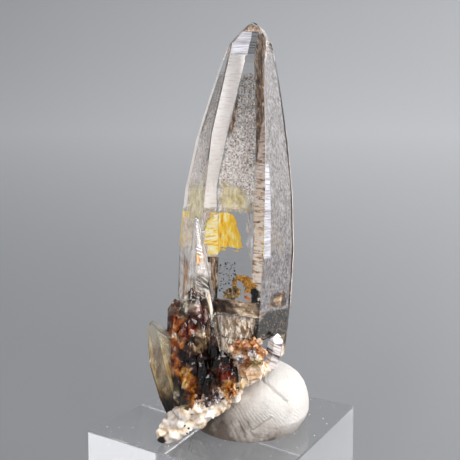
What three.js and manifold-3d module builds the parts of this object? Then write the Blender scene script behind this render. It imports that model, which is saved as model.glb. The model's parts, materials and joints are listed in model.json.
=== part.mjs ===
// A quartz point of the steeply tapering Himalayan habit, grown together at its foot with
// smaller crystals and a strip of white feldspar. Putty holds it upright on a clear
// acrylic cube. Millimetres, +Z up. The origin is the middle of the cube's underside,
// and the specimen's best face looks towards -Y.
import * as THREE from "three";
import { mergeVertices } from "three/addons/utils/BufferGeometryUtils.js";
import Module from "manifold-3d";

const wasm = await Module();
wasm.setup();

// ---- driving dimensions ----
const CUBE = 38; // side of the acrylic cube
const CUBE_CHAMFER = 0.25;
const CUBE_TURN = -31.9; // degrees that the cube is turned against the specimen's face
const GAP = 0.3; // clearance between pieces that touch

const SIDES = 6;
const RHOMB = 0.787; // tan of 38.2 degrees: how fast quartz's end faces close on the axis

// The main crystal. Each face is a stack of flats, each a little steeper than the last.
// levels are heights along the axis, and each row of girth holds the distance from the
// axis to the faces at that level: front, front right, back right, back, back left,
// front left. ends are the heights where the end faces meet the axis, and worn are the
// small flats rubbed on the tip: bearing, height and how fast each one closes.
const POINT = {
  foot: [0.3, -0.8, 46],
  tip: [5.1, -0.8, 114.3],
  turn: -9,
  levels: [0, 16, 26, 36, 46, 54, 60, 64.5],
  girth: [
    [9.3, 9.3, 8.0, 10.9, 8.9, 9.3],
    [9.4, 9.7, 8.8, 13.2, 10.4, 9.6],
    [9.4, 9.55, 8.65, 13.6, 11.25, 9.65],
    [8.6, 8.75, 7.75, 12.8, 11.6, 9.05],
    [7.15, 7.25, 6.4, 10.3, 9.05, 8.2],
    [5.85, 5.85, 4.8, 8.15, 6.65, 6.65],
    [4.35, 4.6, 3.5, 6.55, 4.75, 5.35],
    [2.15, 3.6, 2.25, 4.65, 3.35, 4.1],
  ],
  ends: [68.6, 68.6, 70.0, 68.8, 70.4, 69.0],
  worn: [
    [178, 68.1, 1.35],
    [20, 67.6, 1.9],
  ],
};

// The smaller crystals: foot and tip of the axis, distance from the axis to the faces at
// the foot, how much of that is left below the end faces, and the turn of the faces.
const GROWN = [
  // front left: a clear companion and the back of the rust-stained cluster
  { foot: [-4.1, -8.0, 53], tip: [-5.5, -9.4, 77.9], girth: 4.2, left: 0.06, turn: 12 },
  { foot: [-8.2, -6.8, 43], tip: [-9.7, -6.0, 62.6], girth: 3.2, left: 0.35, turn: 26 },
  // front right: the drusy patch, the cream crystal and its neighbours
  { foot: [2.9, -9.0, 47], tip: [3.2, -12.2, 55.8], girth: 1.1, left: 0.8, turn: 27 },
  { foot: [1.6, -9.4, 46], tip: [1.9, -12.8, 54.4], girth: 1.2, left: 0.8, turn: 50 },
  { foot: [4.8, -9.0, 48], tip: [5.2, -11.6, 55.8], girth: 1.2, left: 0.8, turn: 12 },
  { foot: [4.4, -8.0, 45.5], tip: [4.5, -12.4, 52.8], girth: 2.2, left: 0.8, turn: 3 },
  { foot: [5.4, -8.0, 46.5], tip: [6.4, -10.9, 52.6], girth: 1.6, left: 0.8, turn: 35 },
  { foot: [0.4, -9.4, 45.3], tip: [0.2, -12.9, 50.4], girth: 1.4, left: 0.9, turn: 18 },
  { foot: [2.3, -9.4, 45.8], tip: [2.5, -12.8, 50.2], girth: 1.1, left: 0.9, turn: 36 },
  // behind: the crystals round the back of the foot
  { foot: [3.2, 8.6, 45.5], tip: [4.6, 14.0, 54.6], girth: 2.6, left: 0.7, turn: 4 },
  { foot: [-4.2, 4.6, 43.2], tip: [-7.4, 10.6, 56.0], girth: 2.7, left: 0.6, turn: 25 },
  { foot: [-7.4, -1.4, 42], tip: [-11.0, 1.4, 55.2], girth: 2.4, left: 0.75, turn: 11 },
];

// Crystals that narrow as a steep arch: girth at share s of the length is sqrt(1 - s^2)
// of that at the foot. They crowd the front left of the foot.
const DOMED = [
  { foot: [-5.7, -8.4, 43], tip: [-6.2, -11.8, 65.6], girth: 3.8, turn: 20 },
  { foot: [-5.0, -10.4, 45], tip: [-4.6, -13.6, 60.6], girth: 1.9, turn: 50 },
  { foot: [-7.4, -10.4, 44], tip: [-7.6, -13.6, 59.2], girth: 1.8, turn: 5 },
  { foot: [-6.2, -11.0, 44.5], tip: [-6.2, -14.4, 57.0], girth: 1.6, turn: 14 },
  { foot: [-8.1, -9.4, 42], tip: [-8.9, -11.4, 60.6], girth: 1.7, turn: 33 },
  { foot: [-7.7, -10.6, 42], tip: [-8.1, -13.0, 54.4], girth: 1.6, turn: 22 },
  { foot: [-6.6, -11.2, 42], tip: [-6.9, -13.8, 51.5], girth: 2.0, turn: 48 },
  { foot: [-4.4, -11.2, 44], tip: [-4.5, -14.2, 54.8], girth: 1.7, turn: 9 },
  { foot: [-2.2, -10.6, 46], tip: [-2.5, -13.8, 58.0], girth: 1.3, turn: 9 },
  { foot: [-1.4, -10.4, 45.5], tip: [-1.0, -13.6, 55.2], girth: 2.2, turn: 32 },
  { foot: [0.4, -10.0, 46.2], tip: [0.9, -12.6, 53.6], girth: 1.9, turn: 12 },
  { foot: [-3.6, -11.4, 44], tip: [-3.0, -14.2, 51.6], girth: 1.6, turn: 40 },
  { foot: [-0.6, -11.2, 45.6], tip: [-0.2, -13.6, 51.4], girth: 1.7, turn: 55 },
];
const DOME_SHARES = [0, 0.3, 0.5, 0.66, 0.78, 0.87, 0.94, 0.98];
const UNEVEN = 0.35; // how much higher every other end face sits, as a share of the girth

// The pale crystal at the far left, whose tip leans out over its left face.
const PALE = {
  foot: [-7.4, -8.4, 40.5],
  tip: [-12.0, -8.4, 58.2],
  turn: 30,
  levels: [0, 6, 12, 18],
  girth: [
    [2.6, 2.4, 2.5, 2.6, 2.3, 2.6],
    [2.6, 2.4, 2.5, 2.9, 3.3, 2.9],
    [2.5, 2.3, 2.4, 2.8, 3.5, 2.8],
    [2.0, 2.0, 2.0, 2.1, 2.4, 2.1],
  ],
  ends: [20.6, 17.6, 20.2, 21.2, 21.4, 21.8],
};

// A small crystal finished at both ends, lying on the front right edge.
const DOUBLE = {
  low: [7.5, -7.9, 49.4],
  high: [9.0, -7.7, 56.6],
  girth: 1.3,
  left: 0.92,
  turn: 15,
};

// The underside of the quartz, broken off along a plane that rises to the right.
const BREAK = { through: [0, 0, 46.8], rise: 24.5 };

// White feldspar along the underside: one lump per row, with its middle and half sizes.
const LUMPS = [
  [-10.9, -11.4, 39.5, 1.6, 1.4, 1.4],
  [-9.5, -11.3, 40.2, 1.6, 1.9, 1.6],
  [-8.4, -10.4, 41.2, 2.0, 1.9, 1.5],
  [-7.2, -11.1, 41.5, 2.1, 2.2, 1.8],
  [-5.4, -10.5, 42.7, 2.3, 2.3, 2.0],
  [-3.9, -11.2, 43.2, 1.7, 1.8, 1.5],
  [-2.7, -10.0, 44.2, 2.2, 2.3, 1.8],
  [-1.0, -10.2, 44.8, 1.9, 2.0, 1.5],
  [0.9, -9.2, 46.0, 1.9, 2.1, 1.3],
  [-9.4, -12.1, 42.5, 1.6, 1.4, 1.5],
  [-7.7, -12.5, 43.9, 1.8, 1.5, 1.6],
  [-6.1, -12.7, 44.8, 1.7, 1.5, 1.6],
  [-4.5, -12.4, 45.4, 1.6, 1.4, 1.5],
  [-2.8, -12.2, 45.8, 1.6, 1.3, 1.2],
  [-1.2, -11.8, 46.3, 1.4, 1.2, 1.0],
  [-6.0, -6.0, 42.6, 4.2, 4.4, 2.2],
  [-1.0, -4.4, 44.8, 4.6, 5.2, 1.9],
  [-4.0, 1.0, 43.6, 4.6, 4.6, 2.1],
  [2.6, 0.6, 46.3, 4.2, 4.6, 1.8],
];
const LUMP_DETAIL = 2;
const LUMP_ROUGH = 0.1; // how far a lump's surface strays, as a share of its size
const LUMP_WAVES = [5.1, 6.3, 5.7]; // how fast it strays along X, Y and Z

// Putty, pressed between the underside and the cube.
const PUTTY = {
  middle: [5.0, -1.0, 40.6],
  half: [10.8, 10.2, 8.3],
  foot: CUBE,
  fullness: 2.4, // 2 is a plain ellipsoid, and more is squarer in the shoulder
  lean: 0.1, // how much higher the top stands for each millimetre to the right
  tuck: 0.5, // how far the foot slides left for each millimetre below the middle
  dents: [0.02, 0.015], // how deep the dents are along X and Y, as shares of its size
  waves: [3, 4], // how many radians of wave they make from the middle to the side
  grid: [40, 24],
};

const COLOURS = {
  quartz: 0xd9dad6,
  putty: 0xf1eeea,
  acrylic: 0xdfe3e6,
};

// ---- tools ----
const radians = (degrees) => (degrees * Math.PI) / 180;

// A closed three.js geometry as a solid that can be joined and cut.
function solid(geometry) {
  const bare = geometry.clone();
  bare.deleteAttribute("normal");
  bare.deleteAttribute("uv");
  const merged = mergeVertices(bare, 1e-4);
  return new wasm.Manifold(
    new wasm.Mesh({
      numProp: 3,
      vertProperties: merged.getAttribute("position").array,
      triVerts: new Uint32Array(merged.index.array),
    }),
  );
}

// A solid as a three.js geometry with flat faces.
function geometryOf(shape) {
  const { vertProperties, triVerts } = shape.getMesh();
  const geometry = new THREE.BufferGeometry();
  geometry.setAttribute("position", new THREE.BufferAttribute(vertProperties, 3));
  geometry.setIndex(new THREE.BufferAttribute(triVerts, 1));
  const flat = geometry.toNonIndexed();
  flat.computeVertexNormals();
  return flat;
}

const joined = (shapes) => shapes.reduce((whole, one) => whole.add(one));

// The biggest body of a solid, without the crumbs that a cut leaves or the pinholes
// that stay shut in where crystals meet.
function largestBody(shape) {
  const bodies = shape.decompose();
  return bodies.reduce((big, one) => (one.volume() > big.volume() ? one : big));
}

// The frame of a crystal: its axis is local Z, and local X stays level with the world's.
function crystalFrame(foot, tip) {
  const axis = new THREE.Vector3(...tip).sub(new THREE.Vector3(...foot)).normalize();
  const across = new THREE.Vector3(1, 0, 0).addScaledVector(axis, -axis.x).normalize();
  const away = new THREE.Vector3().crossVectors(axis, across);
  return new THREE.Matrix4().makeBasis(across, away, axis).setPosition(...foot);
}

const axisLength = (foot, tip) =>
  new THREE.Vector3(...foot).distanceTo(new THREE.Vector3(...tip));

// Keeps what lies inside the plane through (distance, height), closing by `close` for
// each millimetre of height, on the side that looks along `bearing`.
function cutFace(shape, bearing, distance, height, close) {
  const normal = new THREE.Vector3(Math.cos(bearing), Math.sin(bearing), close).normalize();
  const point = new THREE.Vector3(
    distance * Math.cos(bearing),
    distance * Math.sin(bearing),
    height,
  );
  return shape.trimByPlane(normal.clone().negate().toArray(), -normal.dot(point));
}

// A crystal as a box cut down by its faces. levels and girth give the sides, ends the
// heights where the end faces meet the axis, and swell moves every face outwards.
function crystal({ foot, tip, turn, levels, girth, ends, worn = [] }, swell = 0) {
  const length = axisLength(foot, tip);
  const widest = 3 * Math.max(...girth.flat()) + 2 * swell;
  const box = new THREE.BoxGeometry(widest, widest, length + 2 * swell);
  let shape = solid(box.translate(0, 0, length / 2));
  for (let face = 0; face < SIDES; face++) {
    const bearing = radians(turn - 90 + (360 / SIDES) * face);
    for (let i = 0; i + 1 < levels.length; i++) {
      const close = (girth[i][face] - girth[i + 1][face]) / (levels[i + 1] - levels[i]);
      shape = cutFace(shape, bearing, girth[i][face] + swell, levels[i], close);
    }
    shape = cutFace(shape, bearing, swell, ends[face], RHOMB);
  }
  for (const [degrees, height, close] of worn)
    shape = cutFace(shape, radians(degrees), swell, height, close);
  return shape.transform(crystalFrame(foot, tip).elements);
}

// A plain small crystal: straight taper, and three end faces larger than the others.
function smallCrystal({ foot, tip, girth, left, turn }, swell = 0) {
  const length = axisLength(foot, tip);
  const row = (share) => Array(SIDES).fill(girth * share);
  const ends = Array.from({ length: SIDES }, (_, i) => length + (i % 2) * UNEVEN * girth);
  const levels = [0, length];
  return crystal({ foot, tip, turn, levels, girth: [row(1), row(left)], ends }, swell);
}

// A crystal that narrows as a steep arch.
function domedCrystal({ foot, tip, girth, turn }, swell = 0) {
  const length = axisLength(foot, tip);
  const levels = DOME_SHARES.map((share) => share * length);
  const rows = DOME_SHARES.map((share) => Array(SIDES).fill(girth * Math.sqrt(1 - share ** 2)));
  const ends = Array(SIDES).fill(length);
  return crystal({ foot, tip, turn, levels, girth: rows, ends }, swell);
}

// The doubly finished crystal: two small ones, foot to foot.
function doubleCrystal({ low, high, girth, left, turn }, swell = 0) {
  const waist = low.map((v, i) => (v + high[i]) / 2);
  const half = (tip, turned) =>
    smallCrystal({ foot: waist, tip, girth, left, turn: turned }, swell);
  return half(high, turn).add(half(low, -turn));
}

const breakNormal = [-Math.sin(radians(BREAK.rise)), 0, Math.cos(radians(BREAK.rise))];
const breakOffset = (drop) =>
  new THREE.Vector3(...breakNormal).dot(new THREE.Vector3(...BREAK.through)) - drop;

// ---- pieces ----
function crystals(swell) {
  const all = [crystal(POINT, swell), crystal(PALE, swell), doubleCrystal(DOUBLE, swell)];
  for (const one of GROWN) all.push(smallCrystal(one, swell));
  for (const one of DOMED) all.push(domedCrystal(one, swell));
  return joined(all).trimByPlane(breakNormal, breakOffset(swell));
}

// One lump: a ball whose surface strays in and out, lying along the broken underside.
function lump([x, y, z, a, b, c], index, swell) {
  const ball = new THREE.IcosahedronGeometry(1, LUMP_DETAIL);
  const place = ball.getAttribute("position");
  for (let i = 0; i < place.count; i++) {
    const at = new THREE.Vector3().fromBufferAttribute(place, i);
    const [p, q, r] = LUMP_WAVES;
    const wave =
      Math.sin(p * at.x + index) + Math.sin(q * at.y + 2 * index) + Math.sin(r * at.z);
    at.multiplyScalar(1 + LUMP_ROUGH * wave);
    place.setXYZ(i, (a + swell) * at.x, (b + swell) * at.y, (c + swell) * at.z);
  }
  return solid(ball.rotateY(-radians(BREAK.rise)).translate(x, y, z));
}

// The crystals and the feldspar, which grew as one. swell moves every face outwards.
function specimen(swell = 0) {
  const feldspar = joined(LUMPS.map((row, index) => lump(row, index, swell)));
  const whole = crystals(swell).add(feldspar);
  return largestBody(whole.trimByPlane([0, 0, 1], CUBE + GAP - swell));
}

// A squarish ball standing on the cube, with the specimen pressed into its top.
function putty() {
  const { middle, half, foot, fullness, lean, tuck, dents, waves, grid } = PUTTY;
  const ball = new THREE.SphereGeometry(1, ...grid).rotateX(Math.PI / 2);
  const place = ball.getAttribute("position");
  for (let i = 0; i < place.count; i++) {
    const at = new THREE.Vector3().fromBufferAttribute(place, i);
    const square = Math.hypot(at.x, at.y) ** fullness + Math.abs(at.z) ** fullness;
    const dent = dents[0] * Math.sin(waves[0] * at.x + 1) + dents[1] * Math.sin(waves[1] * at.y);
    at.multiplyScalar((1 + dent) / square ** (1 / fullness));
    at.z += at.z > 0 ? (lean * half[0] * at.x * at.z) / half[2] : 0;
    const slide = tuck * half[2] * Math.min(at.z, 0);
    place.setXYZ(i, half[0] * at.x + slide, half[1] * at.y, half[2] * at.z);
  }
  const blob = solid(ball.translate(...middle)).trimByPlane([0, 0, 1], foot);
  return largestBody(blob.subtract(specimen(GAP)));
}

function cube() {
  const half = CUBE / 2 - CUBE_CHAMFER;
  const c = CUBE_CHAMFER;
  const outline = new THREE.Shape([
    new THREE.Vector2(-half, -half + c),
    new THREE.Vector2(-half + c, -half),
    new THREE.Vector2(half - c, -half),
    new THREE.Vector2(half, -half + c),
    new THREE.Vector2(half, half - c),
    new THREE.Vector2(half - c, half),
    new THREE.Vector2(-half + c, half),
    new THREE.Vector2(-half, half - c),
  ]);
  const block = new THREE.ExtrudeGeometry(outline, {
    depth: CUBE - 2 * c,
    bevelEnabled: true,
    bevelSegments: 1,
    bevelSize: c,
    bevelThickness: c,
  });
  return block.translate(0, 0, c);
}

function piece(name, geometry, options) {
  const mesh = new THREE.Mesh(geometry, new THREE.MeshStandardMaterial(options));
  mesh.name = name;
  return mesh;
}

// ---- the object ----
const stone = { color: COLOURS.quartz, roughness: 0.05 };
const stand = new THREE.Group();
const block = piece("acrylic_cube", cube(), { color: COLOURS.acrylic, roughness: 0.03 });
block.rotation.z = radians(CUBE_TURN);
stand.add(
  block,
  piece("putty", geometryOf(putty()), { color: COLOURS.putty, roughness: 0.7 }),
);

const object = new THREE.Group();
object.add(piece("quartz_specimen", geometryOf(specimen()), stone), stand);
export default object;
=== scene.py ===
"""The looks of a quartz point of the steeply tapering Himalayan habit, held upright by putty on a clear
acrylic cube. Metres, +Z up.
"""

import json
import bpy
import numpy as np
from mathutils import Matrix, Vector

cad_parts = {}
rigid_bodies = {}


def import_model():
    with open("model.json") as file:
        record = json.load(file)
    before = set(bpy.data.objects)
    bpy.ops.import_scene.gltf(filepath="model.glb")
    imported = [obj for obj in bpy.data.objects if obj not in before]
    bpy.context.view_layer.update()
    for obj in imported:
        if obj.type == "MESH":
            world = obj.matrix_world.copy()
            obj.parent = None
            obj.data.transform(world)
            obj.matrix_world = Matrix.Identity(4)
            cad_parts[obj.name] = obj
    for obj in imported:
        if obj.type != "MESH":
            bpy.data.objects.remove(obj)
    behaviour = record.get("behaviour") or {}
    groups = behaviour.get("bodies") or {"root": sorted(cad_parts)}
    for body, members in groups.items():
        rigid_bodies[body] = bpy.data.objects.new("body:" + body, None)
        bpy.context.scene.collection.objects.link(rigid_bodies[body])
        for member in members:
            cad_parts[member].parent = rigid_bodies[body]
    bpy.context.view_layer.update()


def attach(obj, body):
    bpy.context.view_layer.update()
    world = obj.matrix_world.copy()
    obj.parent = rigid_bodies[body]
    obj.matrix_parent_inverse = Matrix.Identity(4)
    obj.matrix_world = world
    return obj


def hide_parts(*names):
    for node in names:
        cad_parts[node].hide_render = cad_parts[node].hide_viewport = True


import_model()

MM = 0.001

# ---- the named shapes, in millimetres, as in the part's source ----
SIDES = 6
RHOMB = 0.787  # tan of 38.2 degrees: how fast quartz's end faces close on the axis
POINT = {
    "foot": (0.3, -0.8, 46.0),
    "tip": (5.1, -0.8, 114.3),
    "turn": -9,
    "levels": (0, 16, 26, 36, 46, 54, 60, 64.5),
    "girth": (
        (9.3, 9.3, 8.0, 10.9, 8.9, 9.3),
        (9.4, 9.7, 8.8, 13.2, 10.4, 9.6),
        (9.4, 9.55, 8.65, 13.6, 11.25, 9.65),
        (8.6, 8.75, 7.75, 12.8, 11.6, 9.05),
        (7.15, 7.25, 6.4, 10.3, 9.05, 8.2),
        (5.85, 5.85, 4.8, 8.15, 6.65, 6.65),
        (4.35, 4.6, 3.5, 6.55, 4.75, 5.35),
        (2.15, 3.6, 2.25, 4.65, 3.35, 4.1),
    ),
    "ends": (68.6, 68.6, 70.0, 68.8, 70.4, 69.0),
    "worn": ((178, 68.1, 1.35), (20, 67.6, 1.9)),
}
PALE = {
    "foot": (-7.4, -8.4, 40.5),
    "tip": (-12.0, -8.4, 58.2),
    "turn": 30,
    "levels": (0, 6, 12, 18),
    "girth": (
        (2.6, 2.4, 2.5, 2.6, 2.3, 2.6),
        (2.6, 2.4, 2.5, 2.9, 3.3, 2.9),
        (2.5, 2.3, 2.4, 2.8, 3.5, 2.8),
        (2.0, 2.0, 2.0, 2.1, 2.4, 2.1),
    ),
    "ends": (20.6, 17.6, 20.2, 21.2, 21.4, 21.8),
}
# Small crystals: foot, tip, girth at the foot, share of it left at the tip, turn
COMPANION = ((-4.1, -8.0, 53), (-5.5, -9.4, 77.9), 4.2, 0.06, 12)
RUSTY = (
    ((-8.2, -6.8, 43), (-9.7, -6.0, 62.6), 3.2, 0.35, 26),
    ((-4.2, 4.6, 43.2), (-7.4, 10.6, 56.0), 2.7, 0.6, 25),
    ((-7.4, -1.4, 42), (-11.0, 1.4, 55.2), 2.4, 0.75, 11),
)
# Domed crystals: foot, tip, girth at the foot, turn
DOMED = (
    ((-5.7, -8.4, 43), (-6.2, -11.8, 65.6), 3.8, 20),
    ((-5.0, -10.4, 45), (-4.6, -13.6, 60.6), 1.9, 50),
    ((-7.4, -10.4, 44), (-7.6, -13.6, 59.2), 1.8, 5),
    ((-6.2, -11.0, 44.5), (-6.2, -14.4, 57.0), 1.6, 14),
    ((-8.1, -9.4, 42), (-8.9, -11.4, 60.6), 1.7, 33),
    ((-7.7, -10.6, 42), (-8.1, -13.0, 54.4), 1.6, 22),
    ((-6.6, -11.2, 42), (-6.9, -13.8, 51.5), 2.0, 48),
    ((-4.4, -11.2, 44), (-4.5, -14.2, 54.8), 1.7, 9),
    ((-2.2, -10.6, 46), (-2.5, -13.8, 58.0), 1.3, 9),
    ((-1.4, -10.4, 45.5), (-1.0, -13.6, 55.2), 2.2, 32),
    ((0.4, -10.0, 46.2), (0.9, -12.6, 53.6), 1.9, 12),
    ((-3.6, -11.4, 44), (-3.0, -14.2, 51.6), 1.6, 40),
    ((-0.6, -11.2, 45.6), (-0.2, -13.6, 51.4), 1.7, 55),
)
CREAM = (
    ((2.9, -9.0, 47), (3.2, -12.2, 55.8), 1.1, 0.8, 27),
    ((1.6, -9.4, 46), (1.9, -12.8, 54.4), 1.2, 0.8, 50),
    ((4.8, -9.0, 48), (5.2, -11.6, 55.8), 1.2, 0.8, 12),
    ((4.4, -8.0, 45.5), (4.5, -12.4, 52.8), 2.2, 0.8, 3),
    ((5.4, -8.0, 46.5), (6.4, -10.9, 52.6), 1.6, 0.8, 35),
    ((0.4, -9.4, 45.3), (0.2, -12.9, 50.4), 1.4, 0.9, 18),
    ((2.3, -9.4, 45.8), (2.5, -12.8, 50.2), 1.1, 0.9, 36),
    ((3.2, 8.6, 45.5), (4.6, 14.0, 54.6), 2.6, 0.7, 4),
)
DOUBLE = {"low": (7.5, -7.9, 49.4), "high": (9.0, -7.7, 56.6), "girth": 1.3, "turn": 15}
# The broken underside: how steeply it climbs to the right, the way it faces, and a point on it
BREAK_RISE = np.radians(24.5)
BREAK_NORMAL = np.array((-np.sin(BREAK_RISE), 0, np.cos(BREAK_RISE)))
BREAK_THROUGH = np.array((0, 0, 46.8))
# Blocks of feldspar: middle and half sizes
LUMPS = (
    (-10.9, -11.4, 39.5, 1.6, 1.4, 1.4),
    (-9.5, -11.3, 40.2, 1.6, 1.9, 1.6),
    (-8.4, -10.4, 41.2, 2.0, 1.9, 1.5),
    (-7.2, -11.1, 41.5, 2.1, 2.2, 1.8),
    (-5.4, -10.5, 42.7, 2.3, 2.3, 2.0),
    (-3.9, -11.2, 43.2, 1.7, 1.8, 1.5),
    (-2.7, -10.0, 44.2, 2.2, 2.3, 1.8),
    (-1.0, -10.2, 44.8, 1.9, 2.0, 1.5),
    (0.9, -9.2, 46.0, 1.9, 2.1, 1.3),
    (-9.4, -12.1, 42.5, 1.6, 1.4, 1.5),
    (-7.7, -12.5, 43.9, 1.8, 1.5, 1.6),
    (-6.1, -12.7, 44.8, 1.7, 1.5, 1.6),
    (-4.5, -12.4, 45.4, 1.6, 1.4, 1.5),
    (-2.8, -12.2, 45.8, 1.6, 1.3, 1.2),
    (-1.2, -11.8, 46.3, 1.4, 1.2, 1.0),
    (-6.0, -6.0, 42.6, 4.2, 4.4, 2.2),
    (-1.0, -4.4, 44.8, 4.6, 5.2, 1.9),
    (-4.0, 1.0, 43.6, 4.6, 4.6, 2.1),
    (2.6, 0.6, 46.3, 4.2, 4.6, 1.8),
)

# The cube: its edge, and how far it is turned about Z
CUBE = 38.0
CUBE_TURN = np.radians(-31.9)

# ---- surfaces ----
CORNERS = 2 * np.pi / SIDES
TIP_GAP = 0.02  # a crystal's last row lies this far below its peak
FOOT_SHARE = 0.18  # rows that follow a crystal's broken foot end at this share of its height
LEAN_SHARE = 0.8  # worn flats draw in only what lies above this share of the height
RELIEF_FADE = 0.35  # relief reaches its full height this far in from a corner
# Factors that scramble a place of the lattice and a seed into a number, and the number's largest value
LATTICE_MIX = (374761393, 668265263, 2147483647, 974711)
LAST_MIX = 1274126177
BITS = 0xFFFFFFFF


def axes_of(foot, tip):
    """A crystal's foot and its across, away and axis directions: the axis runs from foot to tip, and across
    stays level with X.
    """
    foot, tip = np.array(foot, float), np.array(tip, float)
    axis = (tip - foot) / np.linalg.norm(tip - foot)
    across = np.array((1.0, 0, 0)) - axis * axis[0]
    across /= np.linalg.norm(across)
    return foot, across, np.cross(axis, across), axis


def noise(points, size, seed):
    """Smooth random values from -1 to 1: each lattice corner of a grid with cells of that size holds one,
    scrambled from its place and the seed, and the values between blend by 3t^2 - 2t^3.
    """
    away = 57.3  # each seed reads its own stretch of the lattice
    p = np.asarray(points, float) / size + away * (seed + 1)
    base = np.floor(p).astype(np.int64)
    t = p - base
    t = t * t * (3 - 2 * t)
    total = 0.0
    for near in np.ndindex(2, 2, 2):
        i = base + near
        h = (sum(i[..., k] * LATTICE_MIX[k] for k in range(3)) + seed * LATTICE_MIX[3]) & BITS
        h = ((h ^ (h >> 13)) * LAST_MIX) & BITS
        h = (h ^ (h >> 16)) / BITS * 2 - 1
        weight = np.prod(np.where(near, t, 1 - t), axis=-1)
        total = total + weight * h
    return total


def rough(points, size, seed, octaves=3):
    """Noise of that size with finer noise of half the size and height added, octave by octave."""
    return sum(noise(points, size / 2**i, seed + i) / 2**i for i in range(octaves))


def girths(shape, w):
    """Distances from the axis to the six faces at heights w: the least of the stacked flats and the end
    face, and no further out than its neighbours leave showing.
    """
    w = np.asarray(w, float)[..., None, None]
    levels = np.array(shape["levels"], float)
    girth = np.array(shape["girth"], float)
    slope = (girth[1:] - girth[:-1]) / (levels[1:] - levels[:-1])[:, None]
    flats = (girth[:-1] + slope * (w - levels[:-1, None])).min(axis=-2)
    d = np.minimum(flats, (np.array(shape["ends"]) - w[..., 0]) * RHOMB)
    for _ in range(2):
        d = np.minimum(d, np.roll(d, 1, -1) + np.roll(d, -1, -1))
    return d


def apex(shape):
    """Where a crystal's end faces, its last flats and its worn flats meet: of the points on a fine grid
    across the axis, the one whose lowest face is highest. Returns across, away and height.
    """
    line = np.linspace(-4, 4, 401)
    x, y = np.meshgrid(line, line, indexing="ij")
    roof = np.full(x.shape, np.inf)
    planes = [(shape["turn"] - 90 + 60 * k, end, RHOMB) for k, end in enumerate(shape["ends"])]
    (before, last), (wide, narrow) = shape["levels"][-2:], shape["girth"][-2:]
    for k in range(SIDES):
        close = (wide[k] - narrow[k]) / (last - before)
        planes.append((shape["turn"] - 90 + 60 * k, last + narrow[k] / close, close))
    for degrees, height, close in (*planes, *shape.get("worn", ())):
        b = np.radians(degrees)
        roof = np.minimum(roof, height - (x * np.cos(b) + y * np.sin(b)) / close)
    at = np.unravel_index(roof.argmax(), roof.shape)
    return x[at], y[at], roof[at]


def sides(shape, w, share, peak, relief=None):
    """Points across and away from the axis. w is (rows, 6, columns); at each height, column share runs
    straight from one corner of its face to the next, and each corner is where two neighbouring faces' lines
    cross. relief(w, t, face) moves points along the face's normal, and fades to nothing at the corners.
    Where a worn flat cuts the section, points are drawn in towards the line from the axis to the peak.
    """
    d = girths(shape, w)
    face = np.broadcast_to(np.arange(SIDES)[None, :, None], w.shape)
    here = np.take_along_axis(d, face[..., None], -1)[..., 0]
    after = np.take_along_axis(d, ((face + 1) % SIDES)[..., None], -1)[..., 0]
    before = np.take_along_axis(d, ((face - 1) % SIDES)[..., None], -1)[..., 0]
    right = (after - here * np.cos(CORNERS)) / np.sin(CORNERS)
    left = -(before - here * np.cos(CORNERS)) / np.sin(CORNERS)
    t = left + (right - left) * share
    out = here
    if relief is not None:
        edge = np.minimum(share, 1 - share) * np.maximum(right - left, 0)
        out = out + relief(w, t, face) * np.clip(edge / RELIEF_FADE, 0, 1)
    bearing = np.radians(shape["turn"] - 90) + CORNERS * face
    x = out * np.cos(bearing) - t * np.sin(bearing)
    y = out * np.sin(bearing) + t * np.cos(bearing)
    start = LEAN_SHARE * peak[2]
    lean = np.clip((w - start) / (peak[2] - start), 0, 1)
    mx, my = peak[0] * lean, peak[1] * lean
    for degrees, height, close in shape.get("worn", ()):
        nx, ny = np.cos(np.radians(degrees)), np.sin(np.radians(degrees))
        reach = (x - mx) * nx + (y - my) * ny
        room = (height - w) * close - mx * nx - my * ny
        pull = np.where(reach > room, np.maximum(room, 0) / np.maximum(reach, 1e-9), 1)
        x, y = mx + (x - mx) * pull, my + (y - my) * pull
    return x, y


def crystal(shape, rows, columns, relief=None, cut=True):
    """A closed crystal: its sides carried up the axis from the broken underside, or from its foot, to the
    peak where the end faces meet, with a row at every height where a side turns into its end face. Returns
    points and triangles.
    """
    foot, across, away, axis = axes_of(shape["foot"], shape["tip"])
    peak = apex(shape)
    top = peak[2] - TIP_GAP
    test = np.linspace(0.3 * top, top, 6000)
    flat = girths({**shape, "ends": (1e3,) * SIDES}, test)
    joint = test[np.abs(flat - (np.array(shape["ends"]) - test[:, None]) * RHOMB).argmin(0)]
    share = np.broadcast_to(np.linspace(0, 1, columns, endpoint=False), (SIDES, columns))
    low_w = np.full((SIDES, columns), float(shape["levels"][0]))
    if cut:
        for _ in range(6):
            x, y = sides(shape, low_w[None], share, peak)
            at = foot + x[0][..., None] * across + y[0][..., None] * away
            low_w = np.maximum(-((at - BREAK_THROUGH) @ BREAK_NORMAL) / (axis @ BREAK_NORMAL), 0)
    middle = max(FOOT_SHARE * top, float(low_w.max()) + 0.05)
    lower = int(rows * middle / top) + 2
    s = np.linspace(0, 1, lower, endpoint=False)[:, None, None]
    upper = np.concatenate([np.linspace(middle, top, rows), joint[(joint > middle) & (joint < top)]])
    upper = np.unique(np.round(upper, 4))[:, None, None]
    w = np.concatenate([low_w + (middle - low_w) * s, np.broadcast_to(upper, (len(upper), SIDES, columns))])
    x, y = sides(shape, w, share, peak, relief)
    points = foot + x[..., None] * across + y[..., None] * away + w[..., None] * axis
    end = foot + peak[0] * across + peak[1] * away + peak[2] * axis
    return closed(points.reshape(len(w), -1, 3), end)


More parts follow.
